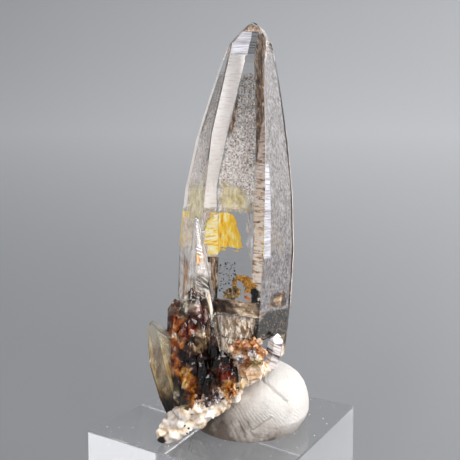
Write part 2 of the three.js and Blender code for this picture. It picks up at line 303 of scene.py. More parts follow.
def closed(grid, end=None):
    """Points and triangles of a grid whose rows go round the surface, with a pole at the middle of the
    first row, and one at end or the middle of the last row.
    """
    n, m = grid.shape[:2]
    i, j = np.meshgrid(np.arange(n - 1), np.arange(m), indexing="ij")
    a, b = i * m + j, i * m + (j + 1) % m
    c, d = b + m, a + m
    j = np.arange(m)
    last = (n - 1) * m
    faces = [
        np.stack([a, b, c], -1).reshape(-1, 3),
        np.stack([a, c, d], -1).reshape(-1, 3),
        np.stack([np.full(m, n * m), (j + 1) % m, j], -1),
        np.stack([np.full(m, n * m + 1), last + j, last + (j + 1) % m], -1),
    ]
    end = grid[-1].mean(0) if end is None else end
    points = np.concatenate([grid.reshape(-1, 3), [grid[0].mean(0)], [end]])
    return points, np.concatenate(faces)


def length_of(foot, tip):
    """How far it is from foot to tip."""
    return float(np.linalg.norm(np.array(tip, float) - np.array(foot, float)))


def small(row):
    """The full shape of a small crystal from foot, tip, girth, share left at the tip, and turn: a straight
    taper, and three end faces larger than the others.
    """
    foot, tip, girth, left, turn = row
    length = length_of(foot, tip)
    ends = tuple(length + (k % 2) * 0.35 * girth for k in range(SIDES))
    rows = ((girth,) * SIDES, (girth * left,) * SIDES)
    return {"foot": foot, "tip": tip, "turn": turn, "levels": (0, length), "girth": rows, "ends": ends}


def domed(row):
    """The full shape of a crystal that narrows as a steep arch: its girth at height s of its length is
    sqrt(1 - s^2) of that at its foot.
    """
    foot, tip, girth, turn = row
    length = length_of(foot, tip)
    shares = np.array((0, 0.3, 0.5, 0.66, 0.78, 0.87, 0.94, 0.98))
    rows = tuple((g,) * SIDES for g in girth * np.sqrt(1 - shares**2))
    levels = tuple(shares * length)
    ends = (length,) * SIDES
    return {"foot": foot, "tip": tip, "turn": turn, "levels": levels, "girth": rows, "ends": ends}


def together(parts):
    """Several closed shapes as one: their points in one row, each shape's faces moved on past the points
    before it. A shape that carries no values gets ones.
    """
    starts = np.cumsum([0] + [len(part[0]) for part in parts])
    faces = np.concatenate([part[1] + start for part, start in zip(parts, starts)])
    rims = [part[2] if len(part) > 2 else np.ones(len(part[0])) for part in parts]
    return np.concatenate([part[0] for part in parts]), faces, np.concatenate(rims)


def make(name, shape, mat, sharp=25.0):
    """A Blender piece from points in millimetres and triangles, shaded smooth but for edges sharper than
    that many degrees.
    """
    points, faces, *inner = shape
    mesh = bpy.data.meshes.new(name)
    mesh.vertices.add(len(points))
    mesh.vertices.foreach_set("co", (points * MM).astype(np.float32).ravel())
    mesh.loops.add(faces.size)
    mesh.loops.foreach_set("vertex_index", faces.astype(np.int32).ravel())
    mesh.polygons.add(len(faces))
    mesh.polygons.foreach_set("loop_start", np.arange(0, faces.size, 3, dtype=np.int32))
    mesh.update(calc_edges=True)
    mesh.validate()
    mesh.polygons.foreach_set("use_smooth", np.ones(len(mesh.polygons), bool))
    mesh.set_sharp_from_angle(angle=np.radians(sharp))
    if inner:
        depths = mesh.attributes.new("inner", "FLOAT", "POINT")
        depths.data.foreach_set("value", inner[0].astype(np.float32))
    mesh.materials.append(mat)
    piece = bpy.data.objects.new(name, mesh)
    bpy.context.scene.collection.objects.link(piece)
    return piece


def fused(name, shapes, mat):
    """Closed shapes joined into one skin, so that no face is left inside."""
    whole = make(name, shapes[0], mat)
    for shape in shapes[1:]:
        other = make("other", shape, mat)
        join = whole.modifiers.new("join", "BOOLEAN")
        join.operation = "UNION"
        join.solver = "EXACT"
        join.object = other
        seen = whole.evaluated_get(bpy.context.evaluated_depsgraph_get())
        mesh = bpy.data.meshes.new_from_object(seen)
        whole.modifiers.clear()
        whole.data = mesh
        bpy.data.objects.remove(other)
    whole.data.name = name
    return whole


# ---- materials ----
def linear(hex_colour):
    """Linear colour of an sRGB hex string: the curve is straight near black, and a power of 2.4 above."""
    c = np.array([int(hex_colour[i : i + 2], 16) / 255 for i in (1, 3, 5)])
    return (*np.where(c <= 0.04045, c / 12.92, ((c + 0.055) / 1.055) ** 2.4), 1.0)


def material(name, **values):
    """A material with one Principled shader and those values on its sockets."""
    made = bpy.data.materials.new(name)
    made.use_nodes = True
    shader = made.node_tree.nodes["Principled BSDF"]
    for key, value in values.items():
        shader.inputs[key.replace("_", " ")].default_value = value
    return made, shader


def add(mat, kind, links=(), **values):
    """A node of that kind with those properties or socket values, and each link (socket of it, from another
    node's output).
    """
    node = mat.node_tree.nodes.new(kind)
    for key, value in values.items():
        if hasattr(node, key):
            setattr(node, key, value)
        else:
            node.inputs[key.replace("_", " ")].default_value = value
    for socket, source in links:
        mat.node_tree.links.new(source, node.inputs[socket])
    return node


def ramp(mat, source, stops):
    """A colour ramp read at source, with stops (place, sRGB hex)."""
    node = add(mat, "ShaderNodeValToRGB", [("Fac", source)])
    edge = node.color_ramp.elements
    while len(edge) < len(stops):
        edge.new(0.5)
    for e, (place, colour) in zip(edge, stops):
        e.position = place
        e.color = linear(colour)
    return node.outputs["Color"]


def spots(mat, scale, detail=4.0, rough=0.6, distort=0.0, stretch=(1, 1, 1), place=(0, 0, 0), turn=0.0):
    """Noise read at the piece's own coordinates turned about Y, scale times per metre."""
    where = add(mat, "ShaderNodeTexCoord")
    turned = add(mat, "ShaderNodeMapping", [("Vector", where.outputs["Object"])], Rotation=(0, turn, 0))
    source = [("Vector", turned.outputs["Vector"])]
    moved = add(mat, "ShaderNodeMapping", source, Scale=stretch, Location=place)
    source = [("Vector", moved.outputs["Vector"])]
    values = {"Scale": scale, "Detail": detail, "Roughness": rough, "Distortion": distort}
    node = add(mat, "ShaderNodeTexNoise", source, **values)
    return node.outputs["Fac"]


def facets(mat, scale):
    """Height, in metres, of a surface made of small flats: in each cell of a Voronoi pattern, scale cells
    per metre, a plane tilted at random.
    """
    place = add(mat, "ShaderNodeTexCoord").outputs["Object"]
    cells = add(mat, "ShaderNodeTexVoronoi", [("Vector", place)], Scale=scale)
    pair = [(0, place), (1, cells.outputs["Position"])]
    offset = add(mat, "ShaderNodeVectorMath", pair, operation="SUBTRACT")
    tilt = add(mat, "ShaderNodeVectorMath", [(0, cells.outputs["Color"])], operation="SUBTRACT")
    tilt.inputs[1].default_value = (0.5, 0.5, 0.5)
    pair = [(0, offset.outputs[0]), (1, tilt.outputs[0])]
    rise = add(mat, "ShaderNodeVectorMath", pair, operation="DOT_PRODUCT")
    return rise.outputs["Value"]


def wire(mat, source, socket):
    """Links a node's output to a socket."""
    mat.node_tree.links.new(source, socket)


def climb(mat, low, high, mask, stray):
    """From 0 where the piece is at height low to 1 at height high, in metres, strayed by a noise mask."""
    place = add(mat, "ShaderNodeTexCoord")
    height = add(mat, "ShaderNodeSeparateXYZ", [("Vector", place.outputs["Object"])])
    share = add(mat, "ShaderNodeMapRange", [("Value", height.outputs["Z"])], From_Min=low, From_Max=high)
    shift = add(mat, "ShaderNodeMath", [(0, mask), (2, share.outputs[0])], operation="MULTIPLY_ADD")
    shift.inputs[1].default_value = 2 * stray
    centred = add(mat, "ShaderNodeMath", [(0, shift.outputs[0])], operation="SUBTRACT")
    centred.inputs[1].default_value = stray
    return centred.outputs[0]


def blend(mat, share, one, other):
    """One colour where share is 0, the other where it is 1."""
    mix = add(mat, "ShaderNodeMix", data_type="RGBA")
    wire(mat, share, mix.inputs["Factor"])
    wire(mat, one, mix.inputs[6])
    wire(mat, other, mix.inputs[7])
    return mix.outputs[2]


def zoned(mat, base, zones, scale, stray=1.6, distort=0.6, stretch=(1, 1, 1)):
    """Colour of patches laid over a base one after another: each has its middle across and up and its
    reach, in millimetres, and its own ramp of one shared noise. A patch fades in from 1.25 to 0.8 of its
    reach, and its edge strays by other noise.
    """
    grain = spots(mat, scale, 6, 0.6, distort, stretch)
    colour = ramp(mat, grain, base)
    place = add(mat, "ShaderNodeTexCoord").outputs["Object"]
    wander = add(mat, "ShaderNodeTexNoise", [("Vector", place)], Scale=600, Detail=3)
    pair = [(0, wander.outputs["Color"]), (2, place)]
    shift = add(mat, "ShaderNodeVectorMath", pair, operation="MULTIPLY_ADD")
    shift.inputs[1].default_value = (2 * stray * MM, 0, 2 * stray * MM)
    level = add(mat, "ShaderNodeVectorMath", [(0, shift.outputs[0])], operation="MULTIPLY")
    level.inputs[1].default_value = (1, 0, 1)
    for x, z, reach, stops in zones:
        away = add(mat, "ShaderNodeVectorMath", [(0, level.outputs[0])], operation="DISTANCE")
        away.inputs[1].default_value = ((x + stray) * MM, 0, (z + stray) * MM)
        share = add(mat, "ShaderNodeMapRange", [("Value", away.outputs["Value"])])
        share.inputs["From Min"].default_value = 1.25 * reach * MM
        share.inputs["From Max"].default_value = 0.8 * reach * MM
        colour = blend(mat, share.outputs[0], colour, ramp(mat, grain, stops))
    return colour


def lamps_through(mat, shader):
    """Lets lamps shine through clear stuff onto what is inside and behind it."""
    path = add(mat, "ShaderNodeLightPath")
    clear = add(mat, "ShaderNodeBsdfTransparent", Color=linear("#f4f4f4"))
    ends = [(0, path.outputs["Is Shadow Ray"]), (1, shader.outputs[0]), (2, clear.outputs[0])]
    mix = add(mat, "ShaderNodeMixShader", ends)
    wire(mat, mix.outputs[0], mat.node_tree.nodes["Material Output"].inputs["Surface"])


def bump(mat, shader, height, strength, distance):
    """Lets a height pattern tilt the light on a surface, distance in metres."""
    node = add(mat, "ShaderNodeBump", [("Height", height)], Strength=strength, Distance=distance)
    wire(mat, node.outputs["Normal"], shader.inputs["Normal"])


QUARTZ = 1.545  # its IOR

# Rock crystal: clear quartz, with the faintest growth lines across its faces.
rock, shader = material("rock crystal", Roughness=0.0, IOR=QUARTZ, Transmission_Weight=1.0)
bump(rock, shader, spots(rock, 900, stretch=(0.25, 0.25, 3.2)), 0.12, 0.00004)
lamps_through(rock, shader)

# Where iron stains the quartz cluster: middle across and up, reach, and colours from dark to light.
GREENISH = [(0.42, "#463a2a"), (0.5, "#8e7e66"), (0.6, "#dccfbc"), (0.66, "#ffffff")]
LILAC = [(0.42, "#200c0a"), (0.5, "#542a20"), (0.59, "#8e685e"), (0.67, "#e4cec8")]
MURKY = [(0.42, "#0e0a06"), (0.52, "#3e3220"), (0.6, "#7e6a4a"), (0.67, "#e8dcc8")]
RED = [(0.4, "#2a0a05"), (0.5, "#6e2410"), (0.6, "#b05a34")]
EMBER = [(0.36, "#5a200a"), (0.46, "#9c4414"), (0.56, "#cc7c38"), (0.66, "#f6d0a0")]
RUST = [(0.34, "#56240c"), (0.47, "#a45c28"), (0.57, "#d29a64"), (0.67, "#fdeedc")]
TAN = [(0.4, "#2c1c12"), (0.48, "#74583e"), (0.56, "#b4946e"), (0.64, "#f6e6cc")]
SMOKE = [(0.42, "#080302"), (0.56, "#1e0b07"), (0.66, "#5c3a30")]
MAROON = [(0.42, "#0e0201"), (0.52, "#360602"), (0.62, "#7e2608")]
AMBER = [(0.38, "#481a06"), (0.47, "#964a0e"), (0.56, "#c8842c"), (0.65, "#f4d08c")]
MAUVE = [(0.4, "#4a3836"), (0.52, "#8c746c"), (0.66, "#cdbcb2")]
DEEP = [(0.4, "#1a0c08"), (0.5, "#543426"), (0.6, "#9a785e"), (0.68, "#e4d2bc")]
STAINS = (
    (-11.0, 59.4, 2.2, MAUVE),
    (-6.9, 62.4, 1.7, GREENISH),
    (-4.8, 60.8, 2.1, LILAC),
    (-8.9, 59.2, 1.3, EMBER),
    (-9.1, 56.0, 1.4, EMBER),
    (-9.3, 52.4, 1.6, EMBER),
    (-6.5, 58.2, 1.5, RED),
    (-4.5, 56.6, 1.7, TAN),
    (-7.2, 54.2, 1.3, SMOKE),
    (-7.0, 50.2, 2.1, AMBER),
    (-5.8, 47.4, 2.2, AMBER),
    (-9.0, 47.6, 1.7, MURKY),
    (-8.0, 45.0, 1.5, MURKY),
    (-4.6, 52.6, 2.0, SMOKE),
    (-2.0, 54.2, 2.3, SMOKE),
    (-3.6, 49.8, 1.7, SMOKE),
    (-0.1, 51.4, 1.6, MAROON),
    (-4.8, 47.6, 0.9, MAROON),
    (0.2, 48.6, 1.2, AMBER),
)

# Iron-stained quartz: rust, red, tan, smoky and amber by turns, glassy outside.
rusty, shader = material("iron-stained quartz", Roughness=0.05, IOR=QUARTZ, Transmission_Weight=0.4)
wire(rusty, zoned(rusty, DEEP, STAINS, 520), shader.inputs["Base Color"])
bump(rusty, shader, facets(rusty, 1100), 0.85, 1.0)

# Where iron stains the paler crystals beside them, in the same way.
WHITE = [(0.4, "#7a625c"), (0.5, "#d9ccc6"), (0.6, "#ffffff")]
OLIVE = [(0.38, "#6e5428"), (0.5, "#b4955c"), (0.62, "#dcc89c")]
GOLD = [(0.36, "#b8803c"), (0.46, "#f2cc90"), (0.58, "#fff0d6")]
BEIGE = [(0.34, "#a87850"), (0.44, "#dcb48c"), (0.55, "#f6dfc8"), (0.64, "#fff8f0")]
RIM = [(0.42, "#160c0b"), (0.5, "#5a4440"), (0.6, "#e0d4d6")]
PALER_STAINS = (
    (3.4, 54.8, 2.9, RUST),
    (2.0, 53.4, 0.9, WHITE),
    (4.1, 54.4, 0.8, WHITE),
    (4.9, 53.0, 1.1, OLIVE),
    (0.1, 48.2, 1.6, AMBER),
    (2.4, 48.8, 1.1, GOLD),
    (-2.6, 46.6, 1.9, RIM),
)
# Milky quartz stained cream and orange: duller inside, still glossy on its faces.
cream, shader = material("iron-stained milky quartz", Roughness=0.1, IOR=QUARTZ, Transmission_Weight=0.15)
shader.inputs["Coat Weight"].default_value = 0.5
shader.inputs["Coat Roughness"].default_value = 0.02
wire(cream, zoned(cream, BEIGE, PALER_STAINS, 640, 0.8), shader.inputs["Base Color"])
bump(cream, shader, facets(cream, 1100), 0.5, 1.0)

# Pale quartz with a breath of yellow, dirty at its foot.
pale, shader = material("pale stained quartz", Roughness=0.03, IOR=QUARTZ, Transmission_Weight=0.9)
tones = [(0.05, "#fff6e2"), (0.4, "#fbe9cb"), (0.62, "#e8d0a2"), (0.78, "#86683e"), (0.92, "#22140a")]
depth = climb(pale, 0.058, 0.043, spots(pale, 450, detail=6, distort=0.6), 0.35)
wire(pale, ramp(pale, depth, tones), shader.inputs["Base Color"])
bump(pale, shader, spots(pale, 900, stretch=(0.4, 0.4, 2)), 0.3, 0.0001)

# Milky quartz, white, with dark lines that run down to the left.
milk, shader = material("milky quartz", Roughness=0.1, IOR=QUARTZ, Coat_Weight=0.4, Transmission_Weight=0.2)
tones = [(0.37, "#4a3e3e"), (0.43, "#b4a8a6"), (0.52, "#f2eae8")]
lines = spots(milk, 600, 6, stretch=(0.3, 0.3, 3.0), turn=-0.45)
wire(milk, ramp(milk, lines, tones), shader.inputs["Base Color"])

OTHER = (4, 2, 7)  # a film's clearing noise is read this far off, so that it differs from its colour's


def part_clear(mat, shader, mask, low, high, fade=0.0):
    """Leaves the stuff solid where mask is above high and clear where it is below low, and thins it out
    over that share of the way in from its rim.
    """
    share = add(mat, "ShaderNodeMapRange", [("Value", mask)], From_Min=low, From_Max=high)
    if fade:
        inner = add(mat, "ShaderNodeAttribute", attribute_name="inner")
        rim = add(mat, "ShaderNodeMapRange", [("Value", inner.outputs["Fac"])], From_Max=fade)
        share = add(mat, "ShaderNodeMath", [(0, share.outputs[0]), (1, rim.outputs[0])], operation="MULTIPLY")
    wire(mat, share.outputs[0], shader.inputs["Alpha"])


def stuff(
    name, scale, stops, gap, stretch=(1, 1, 1), fade=0.0, distort=0.0, gap_scale=1100, rough=0.7, turn=0.0
):
    """The material of a film: noise picks its colour, other noise leaves it clear below the first value of
    gap and whole above the second.
    """
    mat, shader = material(name)
    grain = spots(mat, scale, 5, 0.6, distort, stretch, turn=turn)
    wire(mat, ramp(mat, grain, stops), shader.inputs["Base Color"])
    part_clear(mat, shader, spots(mat, gap_scale, 5, rough, distort, stretch, OTHER, turn), *gap, fade)
    return mat


# Limonite: yellow iron hydroxide in a healed crack, streaked along the crystal.
tones = [(0.3, "#c07a10"), (0.41, "#eeb01e"), (0.52, "#fbd640"), (0.64, "#fff4b8")]
limonite = stuff("limonite film", 1300, tones, (0.3, 0.36), (1, 1, 0.3))
# A breath of the same yellow in the haze above it.
tones = [(0.35, "#ccbc80"), (0.5, "#f0e4bc"), (0.62, "#fcf6e6")]
tint = stuff("yellow haze", 900, tones, (0.22, 0.5), (1, 1, 0.7), 0.5)
# Goethite: golden to dark brown, in a broken, lichen-like crust.
goethite, shader = material("goethite crust")
GOLDEN = [(0.34, "#2a1406"), (0.42, "#a06408"), (0.52, "#d09010"), (0.64, "#f4cc50")]
OCHRE = [(0.38, "#1c0f06"), (0.46, "#5e400e"), (0.54, "#94702c"), (0.64, "#d8bc80")]
ORANGE = [(0.36, "#6a2a04"), (0.46, "#b85a10"), (0.56, "#e48c34")]
where = ((1.8, 61.4, 1.9, OCHRE), (5.2, 61.1, 0.8, ORANGE))
wire(goethite, zoned(goethite, GOLDEN, where, 2600, 0.2), shader.inputs["Base Color"])
part_clear(goethite, shader, spots(goethite, 1700, 5, 0.7, place=OTHER), 0.34, 0.44)
# A milky veil of tiny cavities and mica, as grains of 0.3 mm, which thins out and darkens upwards.
veil, shader = material("milky veil")
grain = spots(veil, 3000)
rise = climb(veil, 0.088, 0.103, spots(veil, 350), 0.4)
low_veil = ramp(veil, grain, [(0.35, "#403230"), (0.43, "#bcaca6"), (0.5, "#f0e8e4"), (0.6, "#ffffff")])
high_veil = ramp(veil, grain, [(0.37, "#2e221b"), (0.45, "#6e6056"), (0.54, "#aca29a"), (0.64, "#efeae6")])
wire(veil, blend(veil, rise, low_veil, high_veil), shader.inputs["Base Color"])
pair = [(0, rise), (2, spots(veil, 1700, 5, place=OTHER))]
thick = add(veil, "ShaderNodeMath", pair, operation="MULTIPLY_ADD")
thick.inputs[1].default_value = -0.12
part_clear(veil, shader, thick.outputs[0], 0.28, 0.48, 0.02)
# Painted reflection: white sheets along growth lines that stand for the bright light reflected inside the
# crystal, and painted highlights on the steps of its left edge.
tones = [(0.34, "#e6dcd6"), (0.44, "#faf4f2"), (0.6, "#ffffff")]
haze = stuff("white painted reflection", 1500, tones, (0.06, 0.24), (0.3, 0.3, 2.4), 0.02)
# The same haze where it is thin and grey.
tones = [(0.36, "#7c787c"), (0.5, "#a4a2a8"), (0.64, "#cacad0")]
silver = stuff("silvery growth haze", 1300, tones, (0.2, 0.45), (0.2, 0.2, 3.0), 0.04)
# Pinkish white haze, half clear, in the lower left face.
tones = [(0.36, "#d8c4b4"), (0.48, "#f2e8e2"), (0.62, "#ffffff")]
lilac_haze = stuff("lilac growth haze", 1100, tones, (0.2, 0.8), (0.6, 0.6, 0.8), 0.12)
# The thinnest haze, mostly clear.
tones = [(0.36, "#c8bcb8"), (0.5, "#e8e0dc"), (0.62, "#ffffff")]
thin_haze = stuff("thin growth haze", 1000, tones, (0.35, 0.95), (1, 1, 0.4), 0.2)
# Grey haze of fine grain, darker downwards.
frost, shader = material("grey growth haze")
grain = spots(frost, 2600, 5, stretch=(1, 1, 0.6))
upper = ramp(frost, grain, [(0.36, "#4e4948"), (0.48, "#736e6e"), (0.62, "#989595")])
lower = ramp(frost, grain, [(0.36, "#443e3d"), (0.48, "#6e6868"), (0.62, "#948f90")])
depth = climb(frost, 0.084, 0.066, spots(frost, 400), 0.3)
wire(frost, blend(frost, depth, upper, lower), shader.inputs["Base Color"])
part_clear(frost, shader, spots(frost, 900, 5, 0.7, 0, (1, 1, 0.4), OTHER), 0.1, 0.6, 0.1)
# Painted reflection with real growth lines: a peach sheet that stands for what the crystal reflects inside
# off its right back face, with dark growth lines, pinker and darker upwards.
peach, shader = material("peach painted reflection")
grain = spots(peach, 950, 5, stretch=(0.3, 0.3, 2.4), distort=0.4)
low_peach = ramp(peach, grain, [(0.37, "#4a3020"), (0.42, "#d8b298"), (0.49, "#ffeedf"), (0.6, "#ffffff")])
high_peach = ramp(peach, grain, [(0.36, "#846a58"), (0.44, "#b49c90"), (0.52, "#d6c6bc"), (0.64, "#f4ece6")])
rise = climb(peach, 0.077, 0.092, spots(peach, 300), 0.3)
wire(peach, blend(peach, rise, low_peach, high_peach), shader.inputs["Base Color"])
part_clear(peach, shader, spots(peach, 1100, 5, 0.6, 0, (0.4, 0.4, 1.6), OTHER), 0.1, 0.28, 0.05)
# White and yellow bands of limonite.
tones = [(0.38, "#eaae1c"), (0.45, "#ffe258"), (0.51, "#fff5a8"), (0.58, "#ffffee")]
banded = stuff("banded limonite", 900, tones, (0.02, 0.14), (0.3, 0.3, 3.2), 0.04, 0.5)
# Close dark and white striations.
tones = [(0.44, "#14100e"), (0.49, "#6e665e"), (0.54, "#a49c94"), (0.62, "#dcd6ce")]
striped = stuff("striations", 1400, tones, (0.45, 0.55), (0.25, 0.25, 2.6), 0.3, 0.5, 900, 0.6, -0.6)
# Cream haze streaked along the crystal.
tones = [(0.38, "#6a4c34"), (0.46, "#c0a484"), (0.54, "#eadac0"), (0.64, "#ffffff")]
streaked = stuff("streaked cream haze", 1200, tones, (0.4, 0.56), (1, 1, 0.25), 0.6, 0.3)
# Cream-yellow haze along the edges of the pale crystal.
tones = [(0.36, "#c8a468"), (0.46, "#ecd8a4"), (0.58, "#fff8dc")]
waxen = stuff("cream haze", 900, tones, (0.1, 0.32), (1, 1, 0.5), 0.2)
# Thin brown iron stain; on the right back face the same brown is painted shade.
tones = [(0.38, "#1c1008"), (0.47, "#5e4632"), (0.56, "#9c8068"), (0.64, "#dccab8")]
stain_film = stuff("thin iron stain", 1100, tones, (0.3, 0.52), (1, 1, 0.5), 0.12, 0.5)
# Rust where a stain is thick.
tones = [(0.38, "#5a2408"), (0.46, "#b06a28"), (0.54, "#e4bc8c"), (0.64, "#fff6e8")]
rust_film = stuff("thick iron stain", 900, tones, (0.3, 0.55), (1, 1, 0.3), 0.45)
# Brown, black and sandy dirt on an old break, palest along its top.
dirt, shader = material("dirt in an old break", Specular_IOR_Level=0.1)
EARTH = [(0.43, "#0a0502"), (0.51, "#2a170a"), (0.59, "#54381c"), (0.67, "#90724c")]
SAND = [(0.36, "#5a422c"), (0.45, "#a88864"), (0.55, "#dcc4a6"), (0.64, "#fff2e0")]
SOOT = [(0.45, "#050302"), (0.52, "#2a1c12"), (0.58, "#7a6248"), (0.66, "#c8b08c")]
LOAM = [(0.42, "#241810"), (0.5, "#6e543a"), (0.58, "#a88a66"), (0.67, "#e0ccac")]
where = ((4.4, 60.4, 2.4, SAND), (9.0, 61.2, 1.8, LOAM), (7.6, 57.8, 2.8, SOOT), (9.8, 57.0, 2.4, SOOT))
wire(dirt, zoned(dirt, EARTH, where, 900, 0.5, stretch=(1, 0.15, 1)), shader.inputs["Base Color"])
part_clear(dirt, shader, spots(dirt, 600, 5, 0.7, 0, (1, 1, 0.8), OTHER), 0.34, 0.46)
# Old cracks, pale where they catch the light.
tones = [(0.38, "#846446"), (0.47, "#c8ac8c"), (0.58, "#fff4e6")]
feather = stuff("crack in quartz", 1200, tones, (0.46, 0.58), (1, 1, 0.4), 0.35, 1.5, 1300, 0.75)
# Beige haze low in the point, in soft patches.
tones = [(0.36, "#866444"), (0.46, "#ac8460"), (0.54, "#cca47c"), (0.64, "#ecd2b4")]
buff = stuff("beige haze", 700, tones, (0.15, 0.4), (1, 1, 0.5), 0.3, 1.0)

# Black mica and hematite grains.
mica, shader = material("black mica", Base_Color=linear("#0a0604"), Roughness=0.5, Specular_IOR_Level=0.1)

# Grains of sand, stained tan.
sandy, shader = material("stained sand", Base_Color=linear("#a88a6a"), Roughness=0.8, Specular_IOR_Level=0.1)

# Dust: pale matt grains.
dust, shader = material("dust", Base_Color=linear("#f4f4f6"), Roughness=0.8)

# Feldspar: chalky white with cream stains and black mica specks, and a paler patch of painted light on its
# right part.
chalky, shader = material("white feldspar", Roughness=0.75)
CHALK = [(0.32, "#94704a"), (0.42, "#d0b494"), (0.51, "#eedcc6"), (0.62, "#fdf5ec")]
GREY = [(0.36, "#8a7c72"), (0.5, "#c4b8ae"), (0.64, "#e8e0da")]
STAIN = [(0.36, "#8a5218"), (0.5, "#cf9e5a"), (0.62, "#f4e0bc")]
# Painted light: a paler patch for the feldspar's right part, which lies in the shade of the cluster.
PAINTED_LIGHT = [(0.32, "#b08c68"), (0.42, "#e8d0b4"), (0.51, "#fdf2e4"), (0.62, "#ffffff")]
MICA = [(0.5, "#060505"), (0.7, "#1c1a18")]
MATRIX = (
    (-9.4, 43.4, 1.9, GREY),
    (-3.6, 44.7, 2.3, PAINTED_LIGHT),
    (-3.0, 46.2, 0.8, STAIN),
    (1.2, 46.6, 1.0, GREY),
    (-11.5, 39.0, 0.75, MICA),
    (-7.3, 41.9, 0.17, MICA),
    (-6.8, 41.2, 0.2, MICA),
    (-6.5, 40.6, 0.16, MICA),
    (-7.0, 40.2, 0.17, MICA),
)
wire(chalky, zoned(chalky, CHALK, MATRIX, 500, 0.25), shader.inputs["Base Color"])
bump(chalky, shader, spots(chalky, 1400, 6), 0.5, 0.0002)

# Mounting putty: off-white, matt, a little waxy, with painted shade low on its left side, where the stone
# above shades it.
waxy, shader = material("white mounting putty", Roughness=0.62, Subsurface_Weight=0.1)
shader.inputs["Subsurface Radius"].default_value = (0.002, 0.0018, 0.0015)
where = add(waxy, "ShaderNodeTexCoord")
# Painted shade: the colour darkens towards the low left, strayed by noise.
slope = add(waxy, "ShaderNodeVectorMath", [(0, where.outputs["Object"])], operation="DOT_PRODUCT")
slope.inputs[1].default_value = (33, 0, 60)
painted_shade_mask = add(waxy, "ShaderNodeMath", [(0, slope.outputs["Value"]), (1, spots(waxy, 300))], operation="ADD")
share = add(waxy, "ShaderNodeMapRange", [("Value", painted_shade_mask.outputs[0])], From_Min=2.85, From_Max=3.45)
tones = [(0.0, "#62564e"), (0.4, "#a69d95"), (1.0, "#c2bdb8")]
wire(waxy, ramp(waxy, share.outputs[0], tones), shader.inputs["Base Color"])
bump(waxy, shader, spots(waxy, 1800, detail=6), 0.8, 0.0002)

# Cast acrylic, polished.
acrylic, shader = material("clear cast acrylic", Roughness=0.02, IOR=1.49, Transmission_Weight=0.95)
shader.inputs["Base Color"].default_value = linear("#fafafc")
bump(acrylic, shader, spots(acrylic, 350, detail=8, rough=0.75, stretch=(1, 6, 1)), 0.05, 0.00005)
lamps_through(acrylic, shader)

# ---- the specimen ----
STEP_DEPTHS = (0.004, 0.012, 0.02, 0.014, 0.02, 0.016)  # height of the main faces' growth steps, by face


def terraces(w, pitch, seed):
    """Growth steps across a face, from -0.5 to 0.5: each step, of random width about pitch, rises slowly
    and drops back.
    """
    steps = np.cumsum(np.random.default_rng(seed).uniform(0.3, 1.7, 400) * pitch)
    i = np.searchsorted(steps, w)
    start = np.concatenate([[0], steps])[i]
    return (w - start) / (np.append(steps, steps[-1] + pitch)[i] - start) - 0.5


def growth(w, t, face):
    """Relief of the main faces: coarse steps across the axis with finer ones on them, lowest on the front
    face.
    """
    depth = np.array(STEP_DEPTHS)[face]
    wave = 0.25 * noise(np.stack([t * 0.5, w, face + 0.0 * w], -1), 1.6, 3)
    total = terraces(w + wave, 0.9, 5) + 0.5 * terraces(w + 0.5 * t / 6 + wave, 2.7, 6)
    return depth * total


def arches(w, t, face):
    """Relief of the domed crystals: hollows that meet in low ridges, and low steps that bow upwards across
    each face, as one arch within another.
    """
    at = np.stack([t, 0.6 * w, 3.0 * face + 0.0 * w], -1)
    hollows = np.abs(noise(at, 1.5, 12)) + 0.5 * np.abs(noise(at, 0.8, 13))
    return -0.28 * hollows + 0.03 * terraces(w + 1.3 * t**2 + 0.8 * noise(at, 2.0, 8), 1.1, 9)


def fine_steps(w, t, face):
    """Relief of the clear companion, the same on every face: close steps that run down to one side, as in a
    fan.
    """
    return 0.018 * terraces(w + 0.45 * t + 0.06 * t**2, 0.45, 10)


def on_face(shape, face, u, w, inside):
    """Points of a crystal, u along that face and w up the axis, that far inside it."""
    foot, across, away, axis = axes_of(shape["foot"], shape["tip"])
    out = girths(shape, w)[..., face] - inside
    bearing = np.radians(shape["turn"] - 90) + CORNERS * face
    x = out * np.cos(bearing) - u * np.sin(bearing)
    y = out * np.sin(bearing) + u * np.cos(bearing)
    return foot + x[..., None] * across + y[..., None] * away + w[..., None] * axis


def facing_out(points, faces):
    """The same closed shape with its faces turned outwards: the sum of its corners' triple products is
    positive then.
    """
    a, b, c = points[faces[:, 0]], points[faces[:, 1]], points[faces[:, 2]]
    return points, faces if (a * np.cross(b, c)).sum() > 0 else faces[:, ::-1]


def rim_of(outline, ragged, size, columns):
    """An outline's points in equal steps round it, each strayed by noise."""
    corners = np.array(outline + outline[:1], float)
    far = np.concatenate([[0], np.cumsum(np.linalg.norm(np.diff(corners, axis=0), axis=1))])
    s = np.linspace(0, far[-1], columns, endpoint=False)
    rim = np.stack([np.interp(s, far, corners[:, 0]), np.interp(s, far, corners[:, 1])], -1)
    where = np.stack([rim[:, 0], rim[:, 1], 0 * s], -1)
    return rim + ragged * np.stack([rough(where, size, 31), rough(where, size, 41)], -1)


def within_face(face, at, gap, shape=POINT):
    """Points of a face, drawn in along it to that gap from its corners where they pass them."""
    left, right = corner(face, at[:, 1], -1, shape), corner(face, at[:, 1], 1, shape)
    return np.stack([np.clip(at[:, 0], left + gap, np.maximum(right - gap, left + gap)), at[:, 1]], -1)


